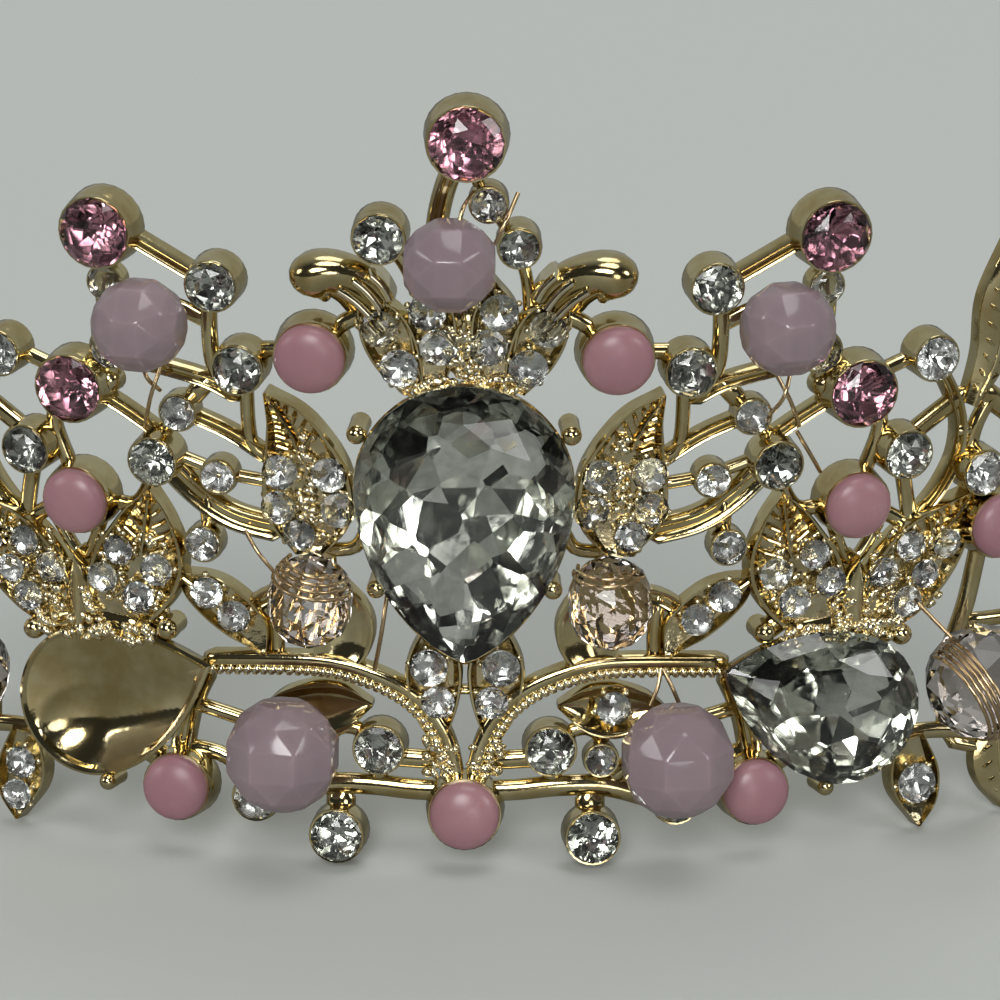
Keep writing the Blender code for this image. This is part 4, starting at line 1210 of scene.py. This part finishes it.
def loop(n, radius, reach, place, slant):
    """Wire over the front of a bead, at a place along the winding's axis."""
    share = math.sqrt(1.0 - (place / radius) ** 2)
    points = []
    for step in range(COIL_STEPS + 1):
        angle = math.pi * (COIL_WRAP * step / COIL_STEPS - (COIL_WRAP - 1.0) / 2.0)
        points.append((place + slant * math.cos(angle), (reach * share + WIRE_RADIUS) * math.cos(angle),
                       n + (radius * share + WIRE_RADIUS) * math.sin(angle)))
    return wire(points, WIRE_RADIUS)


build_cups()
build_bars()
build_leaves()
build_settings()
build_ropes()
build_grains()
build_small_stones()
build_round_stones("fuchsia", "fuchsia_crystals", [fuchsia_glass, foil])
build_round_stones("clear", "clear_crystals", [clear_glass, foil])
build_round_stones("cabochon", "opal_domes", [opal])
build_beads("milky", "milky_beads", MILKY_ROWS, 8, milky_glass)
build_beads("peach", "peach_beads", PEACH_ROWS, 12, peach_glass)
build_pear_crystals()
build_wires()


# Floor: half its width in metres, and the darker tone painted on it where it is seen in a gloss, a painted
# dark reflection.
FLOOR_HALF = 12.0
FLOOR_PAINTED_DARK_REFLECTION = (0.2, 0.21, 0.2, 1.0)


def build_floor():
    """Plain pale floor; where it is seen in a gloss its colour is painted darker, a painted dark reflection.
    """
    shape = bmesh.new()
    bmesh.ops.create_grid(shape, x_segments=2, y_segments=2, size=FLOOR_HALF)
    data = bpy.data.meshes.new("floor")
    shape.to_mesh(data)
    shape.free()
    pale = finish_of("pale_floor", (0.55, 0.575, 0.55), (0.54, 0.565, 0.54), (2.0, 60.0, 1e-6, 0.6, 0.7))
    tree = pale.node_tree
    shader = tree.nodes["Principled BSDF"]
    tones = shader.inputs["Base Color"].links[0].from_node
    path = node_in(tree, "ShaderNodeLightPath")
    painted_dark_reflection = node_in(tree, "ShaderNodeMix", data_type="RGBA")
    painted_dark_reflection.inputs[MIX_SECOND].default_value = FLOOR_PAINTED_DARK_REFLECTION
    # Rays that reflect off a gloss see the painted darker tone: a painted dark reflection.
    link(tree, path, "Is Glossy Ray", painted_dark_reflection, MIX_SHARE)
    link(tree, tones, MIX_RESULT, painted_dark_reflection, MIX_FIRST)
    link(tree, painted_dark_reflection, MIX_RESULT, shader, "Base Color")
    data.materials.append(pale)
    floor = bpy.data.objects.new("floor", data)
    bpy.context.scene.collection.objects.link(floor)


def aim(thing, place, target):
    """Points a light or the camera from a place at a target, both in millimetres."""
    thing.location = place * MM
    thing.rotation_euler = (target - place).to_track_quat("-Z", "Y").to_euler()
    bpy.context.scene.collection.objects.link(thing)


# Where the lamps stand, in millimetres; how far a sun stands changes nothing.
LAMP_DISTANCE = 900.0


def soft_light(name, direction, strength, spread):
    """Distant soft light that shines from a direction, its width in degrees."""
    lamp = bpy.data.lights.new(name, "SUN")
    lamp.energy = strength
    lamp.angle = math.radians(spread)
    place = Vector(direction).normalized() * LAMP_DISTANCE
    aim(bpy.data.objects.new(name, lamp), place, Vector((0.0, 0.0, 0.0)))


# Lamps of the studio: direction, strength, width in degrees.
LAMPS = (
    ("key_light", (-0.10, -0.82, 0.56), 1.5, 24.0),
    ("right_light", (0.78, -0.42, 0.46), 0.45, 20.0),
    ("left_light", (-0.85, -0.30, 0.42), 0.40, 20.0),
    ("upper_light", (0.12, -0.20, 0.97), 0.65, 30.0),
    ("low_light", (0.25, -0.95, 0.14), 0.22, 18.0),
    ("back_light", (0.10, 0.45, 0.88), 0.35, 30.0),
)


def build_studio():
    """Soft lights in a room that is pale behind the tiara and dark before it."""
    for name, direction, strength, spread in LAMPS:
        soft_light(name, direction, strength, spread)
    world = bpy.data.worlds.new("studio")
    bpy.context.scene.world = world
    world.use_nodes = True
    tree = world.node_tree
    place = node_in(tree, "ShaderNodeTexCoord")
    split = node_in(tree, "ShaderNodeSeparateXYZ")
    room = node_in(tree, "ShaderNodeMapRange",
                   values={"From Min": -0.25, "From Max": 0.55, "To Min": 0.03, "To Max": 0.34})
    link(tree, place, "Generated", split, "Vector")
    link(tree, split, "Y", room, "Value")
    tree.nodes["Background"].inputs["Color"].default_value = (0.95, 1.0, 0.96, 1.0)
    link(tree, room, "Result", tree.nodes["Background"], "Strength")
    bpy.context.scene.view_settings.view_transform = "Standard"


def build_camera():
    """Camera at the photo's angle."""
    lens = bpy.data.cameras.new("camera")
    lens.lens = CAMERA_LENS
    lens.clip_start = 0.01
    camera = bpy.data.objects.new("camera", lens)
    level = math.cos(CAMERA_ELEVATION)
    forward = Vector((-math.sin(CAMERA_AZIMUTH) * level, math.cos(CAMERA_AZIMUTH) * level,
                      -math.sin(CAMERA_ELEVATION)))
    aim(camera, AIM - forward * CAMERA_DISTANCE, AIM)
    bpy.context.scene.camera = camera


build_floor()
build_studio()
build_camera()
